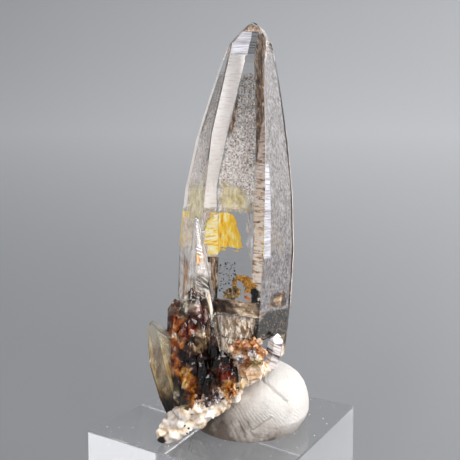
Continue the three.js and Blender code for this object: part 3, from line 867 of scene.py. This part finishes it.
def film(face, outline, inside=0.12, ragged=0.15, size=0.8, thick=0.03, rows=13, columns=150, shape=POINT):
    """A thin closed film along a face: row v of its grid lies sin(v) of the way from the middle to the rim,
    and cos(v) of half the thickness deeper or shallower. It carries 1 - sin(v), which is 0 at the rim.
    """
    rim = within_face(face, rim_of(outline, ragged, size, columns), 0.1, shape)  # 0.1 mm from the corners
    middle = rim.mean(0)
    v = np.linspace(0, np.pi, rows + 2)[1:-1, None]
    at = middle + (rim - middle) * np.sin(v)[..., None]
    sheet = on_face(shape, face, at[..., 0], at[..., 1], inside + thick / 2 * np.cos(v))
    points, faces = facing_out(*closed(sheet))
    inner = np.broadcast_to(1 - np.sin(v), at.shape[:2]).ravel()
    return points, faces, np.append(inner, (1, 1))


def corner(face, w, side, shape=POINT):
    """How far along a face its corner with the next (side 1) or the former (side -1) is at height w."""
    d = girths(shape, np.asarray(w, float))
    beside = d[..., (face + side) % SIDES]
    return side * (beside - d[..., face] * np.cos(CORNERS)) / np.sin(CORNERS)


def lining(
    face, low, high, inside=0.12, from_side=0.02, to_side=0.98, ragged=0.0, size=1.0, lines=12, shape=POINT
):
    """A film over the part of a face between two heights and two shares of its width."""
    w = np.linspace(low, high, lines)
    left, right = corner(face, w, -1, shape), corner(face, w, 1, shape)
    start, stop = left + (right - left) * from_side, left + (right - left) * to_side
    outline = [*zip(start, w), *zip(stop[::-1], w[::-1])]
    return film(face, outline, inside, ragged, size, rows=17, columns=180, shape=shape)


def specks(points, sizes, seed):
    """Small closed eight-faced grains at those points, each drawn out by random amounts along its own
    turned axes.
    """
    pick = np.random.default_rng(seed)
    n = len(points)
    basis = np.linalg.qr(pick.normal(size=(n, 3, 3)))[0]
    basis[np.linalg.det(basis) < 0, 0] *= -1
    reach = np.asarray(sizes)[:, None] * pick.uniform(0.5, 1.0, (n, 3)) / 2
    arms = basis * reach[..., None]
    corners = np.concatenate([arms, -arms], 1) + points[:, None]
    above = [(0, 1, 2), (1, 3, 2), (3, 4, 2), (4, 0, 2)]
    below = [(1, 0, 5), (3, 1, 5), (4, 3, 5), (0, 4, 5)]
    eight = np.array(above + below)
    faces = (np.arange(n)[:, None, None] * 6 + eight).reshape(-1, 3)
    return corners.reshape(-1, 3), faces


def scattered(outline, count, seed, clump=0.0):
    """Random points within an outline, crowded where noise is high."""
    pick = np.random.default_rng(seed)
    edge = np.array(outline, float)
    at = pick.uniform(edge.min(0), edge.max(0), (count * 6, 2))
    after = np.roll(edge, -1, 0)
    crosses = (edge[:, 1] > at[:, None, 1]) != (after[:, 1] > at[:, None, 1])
    rise = np.where(after[:, 1] == edge[:, 1], 1e-9, after[:, 1] - edge[:, 1])
    left = at[:, None, 0] < edge[:, 0] + (at[:, None, 1] - edge[:, 1]) / rise * (after[:, 0] - edge[:, 0])
    within = (crosses & left).sum(1) % 2 == 1
    crowd = noise(np.stack([at[:, 0], at[:, 1], 0 * at[:, 0]], -1), 1.6, seed) * clump
    return at[within & (pick.uniform(-1, 1, len(at)) < 1 - clump + crowd)][:count]


def sprinkled(face, outline, count, size, inside, seed, clump=0.0):
    """Specks at random places within an outline on a face."""
    at = within_face(face, scattered(outline, count, seed, clump), 0.5)
    pick = np.random.default_rng(seed)
    depth = inside + pick.uniform(0, 0.25, len(at))
    middles = on_face(POINT, face, at[:, 0], at[:, 1], depth)
    return specks(middles, size * pick.uniform(0.4, 1.3, len(at)) ** 1.5, seed)


def druse(zone, count, size, seed, back, lean=(0.0, -0.8, 0.6), spread=0.5):
    """Little crystals crowded over a zone given across and up: each is a six-sided column of 24 faces with
    a pointed end, set that far away, along the lean turned by a random amount.
    """
    pick = np.random.default_rng(seed)
    at = scattered(zone, count, seed)
    n = len(at)
    feet = np.stack([at[:, 0], back + pick.uniform(-0.5, 0.5, n), at[:, 1]], -1)
    axis = np.array(lean) + pick.normal(0, spread, (n, 3))
    axis /= np.linalg.norm(axis, axis=1, keepdims=True)
    across = np.cross(axis, pick.normal(size=(n, 3)))
    across /= np.linalg.norm(across, axis=1, keepdims=True)
    basis = np.stack([across, np.cross(axis, across), axis], 1)
    girth = size * pick.uniform(0.35, 1.0, n) ** 1.3
    length = girth * pick.uniform(2.0, 3.6, n)
    around = np.arange(SIDES) * CORNERS
    ring = np.stack([np.cos(around), np.sin(around)], -1)
    corners = np.zeros((n, 2 * SIDES + 2, 3))
    corners[:, :SIDES, :2] = ring * girth[:, None, None]
    corners[:, SIDES:-2, :2] = ring * (0.85 * girth)[:, None, None]
    uneven = 0.2 * girth[:, None] * pick.uniform(-1, 1, (n, SIDES))
    corners[:, SIDES:-2, 2] = (length - girth * 0.9)[:, None] + uneven
    corners[:, -1, 2] = length
    corners = corners @ basis + feet[:, None]
    k = np.arange(SIDES)
    after = (k + 1) % SIDES
    foot, tip = 0 * k + 2 * SIDES, 0 * k + 2 * SIDES + 1
    walls = [(k, after, after + SIDES), (k, after + SIDES, k + SIDES)]
    ends = [(k + SIDES, after + SIDES, tip), (after, k, foot)]
    faces = np.concatenate([np.stack(three, -1) for three in walls + ends])
    return corners.reshape(-1, 3), (np.arange(n)[:, None, None] * corners.shape[1] + faces).reshape(-1, 3)


def cross_film(w, tilt=0.0, share=0.97, thick=0.04, rows=15, columns=180):
    """A thin closed film right across the main crystal at that height, following its six corners, tilted up
    to one side.
    """
    axis = axes_of(POINT["foot"], POINT["tip"])[3]
    ring = np.array([on_face(POINT, k, corner(k, w, 1), np.array(float(w)), 0.0) for k in range(SIDES)])
    s = np.linspace(0, SIDES, columns, endpoint=False)
    around = np.concatenate([ring, ring[:1]])
    rim = np.stack([np.interp(s, np.arange(SIDES + 1), around[:, i]) for i in range(3)], -1)
    v = np.linspace(0, np.pi, rows + 2)[1:-1, None, None]
    middle = rim.mean(0)
    at = middle + (rim - middle) * share * np.sin(v)
    waves = 0.25 * rough(at, 3, 51)[..., None] * np.sin(v)
    rise = tilt * (at[..., :1] - middle[0]) + thick / 2 * np.cos(v) + waves
    return facing_out(*closed(at + rise * axis))


def double(low, high, girth, turn):
    """A small crystal finished at both ends: two closed halves that start at its waist."""
    waist = (np.array(low) + high) / 2
    halves = ((waist, high, girth, 0.92, turn), (waist, low, girth, 0.92, -turn))
    return [crystal(small(half), 30, 4, cut=False) for half in halves]


upper = small(COMPANION)
point = fused("clear_quartz", [crystal(POINT, 520, 14, growth), crystal(upper, 260, 8, fine_steps)], rock)
# Where druse grows: across and up
ORANGE_ZONE = [(0.9, 54.6), (3.0, 56.0), (5.6, 56.2), (6.0, 53.6), (3.6, 52.4), (1.2, 52.2)]
RIM_ZONE = [(-6.4, 47.2), (-2.0, 48.2), (1.6, 48.8), (1.6, 47.0), (-2.6, 45.8), (-6.0, 45.2)]
yellowish = make("pale_crystal", crystal(PALE, 90, 8), pale)
twin = make("doubly_ended_crystal", together(double(**DOUBLE)), milk)
tapered = [crystal(small(row), 60, 6) for row in RUSTY]
arched = [crystal(domed(row), 100, 9, arches) for row in DOMED]
rust = make("rusty_crystals", together([*tapered, *arched]), rusty)
beads = [druse(ORANGE_ZONE, 60, 0.8, 65, -11.9), druse(RIM_ZONE, 130, 0.4, 68, -13.2)]
stubby = [crystal(small(row), 50, 8, arches) for row in CREAM]
creamy = make("cream_crystals", together([*stubby, *beads]), cream)

# Places of the inclusions and of the painted shade on the main crystal: u along a face and w up the axis, in
# millimetres.
LIMONITE_BACK = [
    (5.2, 31.2), (3.42, 31.3), (2.38, 31.0), (1.67, 29.6), (0.68, 27.0), (-0.1, 24.6), (0.87, 24.2),
    (2.53, 24.4), (4.16, 24.3), (5.2, 23.5),
]
LIMONITE_LEFT = [(-9.6, 23.9), (-7.9, 24.85), (-6.8, 26.9), (-7.0, 28.9), (-8.2, 30.7), (-9.6, 30.9)]
BANDS_LEFT = [(-3.6, 25.7), (-5.0, 23.3), (-9.4, 23.4), (-9.4, 31), (-7.6, 30.8), (-5.2, 29.5)]
BROWN_LEFT = [(-5.3, 22.9), (-6.3, 20.3), (-8.0, 17.2), (-9.6, 16.2), (-9.6, 22.9)]
RING = (
    [(-0.3, 19.3), (-1.6, 19.5), (-2.4, 18.8), (-2.4, 16.2), (-1.2, 15.9), (-0.9, 17.2), (-0.6, 18.2)],
    [(1.3, 19.0), (0.2, 19.6), (-1.2, 19.5), (-1.3, 18.4), (0.2, 18.5)],
    [(1.6, 18.8), (0.8, 19.1), (0.5, 17.8), (0.8, 16.6), (1.3, 16.6)],
    [(1.4, 17.0), (0.8, 17.3), (-0.4, 16.6), (-0.2, 16.2), (0.9, 16.3)],
)
RING_RIGHT = [(10.1, 18.6), (8.6, 18.5), (7.6, 17.4), (8.3, 16.2), (10.1, 15.9)]
OCHRE_BACK = [
    (3.26, 15.9), (2.3, 16.6), (1.07, 16.7), (-0.2, 16.2), (-0.28, 15.2), (1.3, 14.45), (2.95, 14.7),
]
ORANGE_BACK = [(-1.07, 15.5), (-1.86, 15.75), (-2.3, 15.2), (-2.57, 14.6), (-1.54, 14.7)]
DOTS_BACK = [(4.75, 21.85), (1.08, 22.16), (0.61, 16.12), (4.28, 15.78)]
BLOCK_RIGHT = [(8.69, 17.2), (6.47, 17.5), (5.99, 15.0), (7.72, 14.75)]
SHADE_RIGHT = [
    (-0.9, 66.0), (1.5, 60.7), (2.7, 55), (3.8, 50), (6.0, 47), (7.8, 42), (9.0, 41), (8.0, 56), (4.0, 66),
]
SPOTS_FRONT = [(-2.25, 18.9), (3.0, 18.4), (3.0, 15.9), (-2.0, 15.7)]
DARK_FRONT = [(-5.2, 13.0), (-1.8, 16.2), (4.0, 15.4), (4.2, 10.4), (-4.6, 10.2)]
FEATHER_FRONT = [(-2.6, 14.6), (5.2, 14.6), (4.4, 6.4), (-2.2, 6.6)]
TINT_BACK = [(5.4, 37.5), (1.8, 36.5), (-1.8, 34), (-1.9, 31.6), (5.4, 31.6)]
TINT_LEFT = [(2.2, 39.5), (4.8, 33), (4.7, 28.5), (-4.0, 27.8), (-4.2, 33)]
BROWN_BACK = [(4.6, 57.5), (3.4, 56.5), (2.6, 52), (3.4, 47), (5.4, 45.5), (5.0, 51)]
WHITE_STRIP = [(-5.0, 41), (-3.3, 41.5), (-3.0, 24.6), (-5.0, 24.6)]
THIN_BACK = [(-0.4, 33.2), (-5.0, 33.2), (-5.0, 19.5), (-2.6, 20.5), (-1.0, 25)]
# The companion's.
COMPANION_FAN = [(-2.0, 15.8), (1.4, 14.4), (1.6, 11.0), (-0.6, 10.2), (-2.4, 12.4)]
COMPANION_RIDGES = [(-0.2, 15.6), (1.0, 15.8), (2.4, 12.0), (3.0, 4.0), (1.4, 4.6), (0.8, 9.0)]
COMPANION_SPOT = [(-1.2, 18.3), (-0.2, 18.6), (0.5, 17.6), (0.3, 16.6), (-0.6, 16.2), (-1.4, 17.0)]
COMPANION_LEFT = [(-0.4, 15.0), (1.4, 14.0), (2.0, 8.0), (-1.6, 8.0)]
# The main crystal's again.
RUST_LEFT = [(-3.8, 24.0), (-1.0, 22.5), (3.0, 21.0), (3.0, 14.5), (-3.8, 14.5)]
# Painted highlights on the steps of its left edge: across from the corner and up from each of the heights.
STEP = ((0.1, 1.5), (0.9, -0.2), (0.7, -1.2), (0.1, -1.2))
STEP_HEIGHTS = (61.6, 55.6, 51.6, 47.6)
WHITE_LINE = [(-1.02, 14.2), (-0.8, 14.2), (-0.8, 9.0), (-1.02, 9.0)]
OLIVE_BLOCK = [(-3.6, 17.0), (-0.2, 16.6), (-0.4, 14.3), (-3.6, 14.2)]

yellow = make("limonite_film", together([film(3, LIMONITE_BACK), film(4, LIMONITE_LEFT)]), limonite)
breaths = [film(3, TINT_BACK, 0.3, 0.5), film(5, TINT_LEFT, 0.2, 0.6, 1.5)]
tinted = make("yellow_haze", together(breaths), tint)
bands = make("banded_limonite", film(4, BANDS_LEFT, 0.2), banded)
crust = [
    *[film(3, block, 0.12, 0.25, 0.6) for block in RING],
    film(2, RING_RIGHT, 0.32, 0.1),
    film(3, OCHRE_BACK, 0.12, 0.4, 0.7),
    film(3, ORANGE_BACK),
]
golden = make("goethite_crust", together(crust), goethite)
milky = make("milky_veil", lining(3, 31.7, 57.8, 0.12, 0.01, 0.99, 0.6, 0.7), veil)
steps = [[(corner(5, w, -1) + a, w + b) for a, b in STEP] for w in STEP_HEIGHTS]
# The white sheet inside the left back face is painted reflection; the steps along the left front face are
# painted highlights.
reflection_sheets = [lining(4, 32, 63.5, 0.1), *[film(5, step, 0.1, 0.05) for step in steps]]
painted_reflection = make("white_haze", together(reflection_sheets), haze)
strips = [
    film(1, WHITE_STRIP, ragged=0.05),
    film(0, WHITE_LINE, 0.3, 0.03),
    lining(0, 60.8, 65.8, 0.08, 0.02, 0.5),
]
silvery = make("silvery_haze", together(strips), silver)
lilac = make("lilac_haze", lining(5, 14, 31, 0.15, ragged=0.4), lilac_haze)
# The pale crystal's rims: face, and the shares of its width they run between
WAX_RIMS = ((0, 0.0, 0.16), (0, 0.74, 1.0), (5, 0.0, 0.2), (5, 0.86, 1.0))
rims = [lining(face, 1, 17.6, 0.2, start, stop, 0.05, shape=PALE) for face, start, stop in WAX_RIMS]
clouds = [lining(face, 14, 24.2, 0.15, 0.03, 0.97, 0.1, shape=upper) for face in (0, 1, 5)]
clouded = make("companion_haze", together([*clouds, film(3, THIN_BACK, 0.25, 0.5)]), thin_haze)
streaks = [
    film(0, COMPANION_RIDGES, 0.25, 0.3, shape=upper),
    film(5, COMPANION_LEFT, 0.2, 0.3, shape=upper),
]
rusts = [film(5, RUST_LEFT, 0.1, 0.5), film(0, COMPANION_SPOT, 0.1, 0.6, 0.5, shape=upper)]
rusted = make("rust_streaks", together(rusts), rust_film)
creamed = make("streaked_haze", together(streaks), streaked)
window = [lining(face, 5, 17, 0.15, 0.1, 0.9, 0.1, shape=PALE) for face in (0, 5)]
misted = make("pale_mist", together(window), thin_haze)
edged = make("pale_rims", together(rims), waxen)
fan = make("striations", film(0, COMPANION_FAN, 0.15, 0.2, shape=upper), striped)

greys = [lining(1, 16, 63.5, 0.2), lining(1, 15, 24, 0.26)]
greyish = make("grey_haze", together(greys), frost)
stains = [
    # The brown sheet on the right back face is painted shade, put where the crystal looks dark; the rest is
    # iron stain.
    film(2, SHADE_RIGHT, 0.25, 0.5),
    film(4, BROWN_LEFT, 0.2),
    film(4, BROWN_LEFT, 0.3),
    film(3, BROWN_BACK, 0.3, 0.3),
    lining(0, 65.9, 67.1, 0.08),
    lining(5, 65.0, 65.9, 0.08),
    lining(5, 65.9, 66.8, 0.08, 0.74, 0.98),
]
stain_and_shade = make("iron_stain", together(stains), stain_film)
# Painted reflection: the peach sheet inside the right back face.
peach_reflection = make("peach_haze", lining(2, 15, 49, 0.15, ragged=0.9, size=2.0), peach)
breaks = [
    cross_film(14.4, 0.02),
    cross_film(10.5, -0.03),
    film(1, SPOTS_FRONT, 0.2, 0.4),
    film(1, DARK_FRONT, 0.65, 0.5),
    lining(1, 8.5, 20.0, 0.1, 0.93, 0.99, 0.05),
    film(0, OLIVE_BLOCK, 1.0, 0.3),
    *[lining(face, 0.5, 6.5, 0.3, shape=PALE) for face in (0, 5)],
]
muddy = make("old_break", together(breaks), dirt)
grains = [
    sprinkled(3, DOTS_BACK, 130, 0.4, 0.3, 1, 0.4),
    sprinkled(1, DARK_FRONT, 1200, 0.5, 0.35, 2, 0.8),
    sprinkled(1, SPOTS_FRONT, 60, 0.2, 0.15, 4, 0.3),
    sprinkled(2, BLOCK_RIGHT, 220, 0.8, 0.6, 3),
    lining(1, 19.5, 58, 0.1, 0.96, 1.0, 0.08, 0.6),
]
flecks = make("mica_grains", together(grains), mica)
sanded = make("sand_grains", sprinkled(1, DARK_FRONT, 150, 0.34, 0.25, 7, 0.8), sandy)
buffed = make("beige_haze", film(0, FEATHER_FRONT, 0.9, 0.6), buff)
feathers = [film(0, FEATHER_FRONT, 0.5, 0.3), film(0, FEATHER_FRONT, 0.72, 0.4)]
cracks = make("cracks", together(feathers), feather)


def unit_ball(rings, columns):
    """Points all over a ball of radius 1, from its lowest ring to its highest."""
    down = np.linspace(0, np.pi, rings + 2)[1:-1]
    v, u = np.meshgrid(down, np.linspace(0, 2 * np.pi, columns, endpoint=False), indexing="ij")
    return np.stack([np.sin(v) * np.cos(u), np.sin(v) * np.sin(u), -np.cos(v)], -1)


def lump(row, seed, rings=40, columns=64, planes=14):
    """A closed block with that middle and those half sizes, lying along the underside: in each direction it
    reaches to the nearest of several random planes, a share of the way rounded off, and its surface strays
    by noise.
    """
    x, y, z, a, b, c = row
    pick = np.random.default_rng(seed + 100)
    ball = unit_ball(rings, columns)
    normals = pick.normal(size=(planes, 3))
    normals /= np.linalg.norm(normals, axis=1, keepdims=True)
    reach = (pick.uniform(0.72, 1.0, planes) / np.maximum(ball @ normals.T, 0.2)).min(-1)
    at = ball * np.minimum(reach, 1.15)[..., None] * (a, b, c)
    at = at * (1 + 0.09 * rough(at + 5.0 * seed, 0.9, seed, 4))[..., None]
    cos, sin = np.cos(BREAK_RISE), np.sin(BREAK_RISE)
    at = np.stack([at[..., 0] * cos - at[..., 2] * sin, at[..., 1], at[..., 0] * sin + at[..., 2] * cos], -1)
    at = at + (x, y, z)
    at[..., 2] = np.maximum(at[..., 2], CUBE + 0.05)
    return closed(at)


def crumbs(count, seed):
    """Rows of middles and half sizes for small blocks, strewn along the front of the feldspar from its low
    left end.
    """
    pick = np.random.default_rng(seed)
    along = pick.uniform(0, 1, count)
    x = -11.4 + 13.0 * along + pick.normal(0, 0.2, count)
    z = 39.6 + 7.0 * along + pick.uniform(-1.0, 2.2, count) * np.clip(1.4 - along, 0, 1)
    y = -12.7 + 1.4 * along + pick.normal(0, 0.35, count)
    size = pick.uniform(0.6, 1.2, (count, 3))
    return np.column_stack([x, y, z, size])


blocks = [lump(row, i) for i, row in enumerate(LUMPS)]
blocks += [lump(row, 40 + i, 16, 26, 9) for i, row in enumerate(crumbs(26, 7))]
stone = make("feldspar", together(blocks), chalky, 45)
fuse = stone.modifiers.new("fuse", "REMESH")
fuse.mode = "VOXEL"
fuse.voxel_size = 0.16 * MM
fuse.use_smooth_shade = True
soften = stone.modifiers.new("soften", "SMOOTH")
soften.factor = 0.5
soften.iterations = 1

# ---- the stand ----
# The putty: middle and half sizes, how square it is, and how far its top leans right and its foot slides left
PUTTY = {
    "middle": (5.0, -1.0, 40.6),
    "half": (10.8, 10.2, 8.3),
    "fullness": 2.4,
    "lean": 0.1,
    "tuck": 0.5,
}
# Creases of the putty: two ends on its front, how deep and how wide
CREASES = (
    ((6.4, 48.2), (10.6, 44.5), 0.4, 0.18),
    ((4.4, 40.2), (7.6, 42.4), 0.3, 0.16),
    ((1.8, 41.2), (3.0, 39.0), 0.3, 0.3),
    ((3.4, 41.6), (4.2, 39.0), 0.3, 0.3),
)
# The finger marks: how far apart their ridges are, how high, and the way across them
RIDGE_PITCH = 0.5
RIDGE_HEIGHT = 0.075
ACROSS_RIDGES = np.array((0.75, 0.1, 0.65))
# The bed pressed by the stone: its middle, how far it reaches, and how far below the stone it lies
BED = (1.5, -0.8)
BED_REACH = 10.4
BED_GAP = 0.05


def putty_blob(rings=176, columns=500):
    """A squarish ball: each direction's unit point is scaled to |r|^f + |z|^f = 1, its top leans, its foot
    slides left, and it is flat where it stands on the cube. Weak finger ridges and creases mark it.
    """
    at = unit_ball(rings, columns)
    full = PUTTY["fullness"]
    square = np.hypot(at[..., 0], at[..., 1]) ** full + np.abs(at[..., 2]) ** full
    dents = 1 + 0.02 * np.sin(3 * at[..., 0] + 1) + 0.015 * np.sin(4 * at[..., 1])
    at = at * (dents / square ** (1 / full))[..., None]
    a, b, c = PUTTY["half"]
    z = at[..., 2] + np.where(at[..., 2] > 0, PUTTY["lean"] * a * at[..., 0] * at[..., 2] / c, 0)
    x = a * at[..., 0] + PUTTY["tuck"] * c * np.minimum(z, 0)
    place = np.stack([x, b * at[..., 1], c * z], -1) + PUTTY["middle"]
    out = at / np.linalg.norm(at, axis=-1, keepdims=True)
    way = place @ ACROSS_RIDGES + 2.2 * noise(place, 5, 21) + 0.16 * rough(place, 1.0, 25)
    pressed = np.clip(0.2 + 1.1 * rough(place, 3, 22, 2), 0, 1)
    ridges = RIDGE_HEIGHT * np.sin(2 * np.pi * way / RIDGE_PITCH) * pressed
    raised = ridges + 0.13 * rough(place, 4.5, 23, 3) + 0.02 * rough(place, 0.5, 24, 2)
    for start, stop, deep, wide in CREASES:
        start, run = np.array(start), np.array(stop) - np.array(start)
        flat = place[..., (0, 2)] + 0.25 * noise(place, 1.5, 26)[..., None]
        along = np.clip(((flat - start) @ run) / (run @ run), 0, 1)
        gap = np.linalg.norm(flat - start - along[..., None] * run, axis=-1)
        raised = raised - deep * np.exp(-((gap / wide) ** 2)) * (place[..., 1] < PUTTY["middle"][1])
    place = place + out * raised[..., None]
    place[..., 2] = np.maximum(place[..., 2], CUBE)
    lid = BREAK_THROUGH[2] + np.tan(BREAK_RISE) * place[..., 0] - BED_GAP
    under = np.hypot(place[..., 0] - BED[0], place[..., 1] - BED[1]) < BED_REACH
    place[..., 2] = np.where(under, np.minimum(place[..., 2], lid), place[..., 2])
    return closed(place)


blob = make("putty_lump", putty_blob(), waxy, 60)
quartz_pieces = (
    point, edged, misted, clouded, rusted, lilac, creamed, yellowish, twin, bands, fan, rust, creamy, stone,
    yellow, tinted, golden, milky, painted_reflection, silvery, greyish, stain_and_shade, peach_reflection, muddy, flecks, sanded,
    buffed, cracks,
)
for piece in quartz_pieces:
    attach(piece, "root")
    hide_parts("quartz_specimen")
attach(blob, "root")
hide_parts("putty")


def settled_dust(count, seed):
    """Dust grains on the cube: a third on its two front sides and the rest on its top, random along two
    edges and then turned with it.
    """
    pick = np.random.default_rng(seed)
    half = CUBE / 2
    proud = 0.01
    inset = half - 0.6
    a, b = pick.uniform(-inset, inset, (2, count))
    side = pick.integers(0, 6, count)
    level = np.where(side < 2, b + half, CUBE + proud)
    x = np.where(side == 0, half + proud, a)
    y = np.where(side == 1, -half - proud, np.where(side == 0, a, b))
    x = np.where(side == 1, a, x)
    cos, sin = np.cos(CUBE_TURN), np.sin(CUBE_TURN)
    points = np.stack([x * cos - y * sin, x * sin + y * cos, level], -1)
    return specks(points, 0.1 * pick.uniform(0.5, 1.6, count) ** 2, seed)


grime = make("dust", settled_dust(400, 81), dust)
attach(grime, "root")
for piece in bpy.data.objects:
    if piece.type == "MESH" and "acrylic_cube" in piece.name:
        for held in piece.material_slots:
            held.material = acrylic

# ---- floor, light and camera ----
# The floor and wall, in metres: the bend between them starts at BEND_START and has the radius BEND
FRONT_EDGE = -1.2
BEND_START = 0.03
BEND = 0.7
WALL_TOP = 1.6
HALF_WIDTH = 1.6


def sweep():
    """Floor and wall in one: a level plane that curves up through a quarter circle, as a profile carried
    along X.
    """
    turn = np.linspace(0, np.pi / 2, 48)
    y = np.concatenate([[FRONT_EDGE], BEND_START + BEND * np.sin(turn), [BEND_START + BEND]])
    z = np.concatenate([[0], BEND - BEND * np.cos(turn), [WALL_TOP]])
    x = np.linspace(-HALF_WIDTH, HALF_WIDTH, 9)
    n, m = len(y), len(x)
    grid = np.stack([np.tile(x, n), np.repeat(y, m), np.repeat(z, m)], -1)
    i, j = np.meshgrid(np.arange(n - 1), np.arange(m - 1), indexing="ij")
    a = i * m + j
    lower, upper = (a, a + 1, a + m + 1), (a, a + m + 1, a + m)
    halves = [np.stack(three, -1).reshape(-1, 3) for three in (lower, upper)]
    return grid / MM, np.concatenate(halves)


# Grey studio paper, darker where it lies than where it hangs: painted shade, which keeps the floor, though it
# gets more light, no brighter than the wall, and darkens the low background.
paper, shader = material("grey studio paper", Roughness=0.9)
place = add(paper, "ShaderNodeTexCoord")
height = add(paper, "ShaderNodeSeparateXYZ", [("Vector", place.outputs["Object"])])
tones = [(0.0, "#7b7c7e"), (0.15, "#b2b3b6")]
wire(paper, ramp(paper, height.outputs["Z"], tones), shader.inputs["Base Color"])
floor = make("floor", sweep(), paper, 60)


def softbox(name, place, aim, size, power):
    """A white rectangular lamp at place that faces aim, in metres and watts. The camera doesn't see it."""
    light = bpy.data.lights.new(name, "AREA")
    light.shape = "RECTANGLE"
    light.size, light.size_y = size
    light.energy = power
    lamp = bpy.data.objects.new(name, light)
    lamp.location = place
    lamp.visible_camera = False
    lamp.rotation_mode = "QUATERNION"
    lamp.rotation_quaternion = (Vector(aim) - Vector(place)).to_track_quat("-Z", "Y")
    bpy.context.scene.collection.objects.link(lamp)


softbox("key", (0.5, -0.2, 0.5), (0, 0, 0.06), (0.4, 0.4), 3.1)
softbox("front", (0.12, -0.44, 0.42), (0, 0, 0.06), (0.35, 0.35), 2.6)
softbox("wall", (0.8, 0.25, 0.6), (0.5, 0.7, 0.38), (0.3, 0.6), 2.4)
softbox("left", (-0.5, -0.12, 0.3), (0, 0, 0.08), (0.2, 0.3), 0.7)
softbox("wash", (0.3, 0.0, 0.14), (0.14, 0.12, 0), (0.1, 0.1), 0.5)
softbox("spark_left", (-0.22, -0.42, 0.36), (0, 0, 0.06), (0.06, 0.06), 0.3)
softbox("spark_right", (0.2, -0.5, 0.2), (0, 0, 0.06), (0.05, 0.05), 0.2)
softbox("side", (0.34, 0.09, 0.22), (0, 0, 0.1), (0.36, 0.4), 0.22)
softbox("low", (0.17, 0.1, 0.002), (0.17, 0.1, 0.5), (0.27, 0.26), 0.115)
world = bpy.data.worlds.new("room")
world.use_nodes = True
room = world.node_tree.nodes["Background"]
room.inputs["Color"].default_value = linear("#b4b8bc")
room.inputs["Strength"].default_value = 0.65
bpy.context.scene.world = world

SENSOR = 36  # millimetres across
LENS_SHARE = 544 / 460  # focal length as a share of the sensor's width
LOOKS_DOWN = 3.2  # degrees
view = bpy.data.cameras.new("camera")
view.sensor_width = SENSOR
view.lens = LENS_SHARE * SENSOR
view.clip_start = 0.005
eye = bpy.data.objects.new("camera", view)
eye.location = (0.0004, -0.1047, 0.0807)
eye.rotation_euler = (np.radians(90 - LOOKS_DOWN), 0, 0)
bpy.context.scene.collection.objects.link(eye)
bpy.context.scene.camera = eye
bpy.context.scene.view_settings.view_transform = "Standard"
# Light crosses many clear faces before it leaves the crystal.
bpy.context.scene.cycles.max_bounces = 24
bpy.context.scene.cycles.transmission_bounces = 24
bpy.context.scene.cycles.glossy_bounces = 12
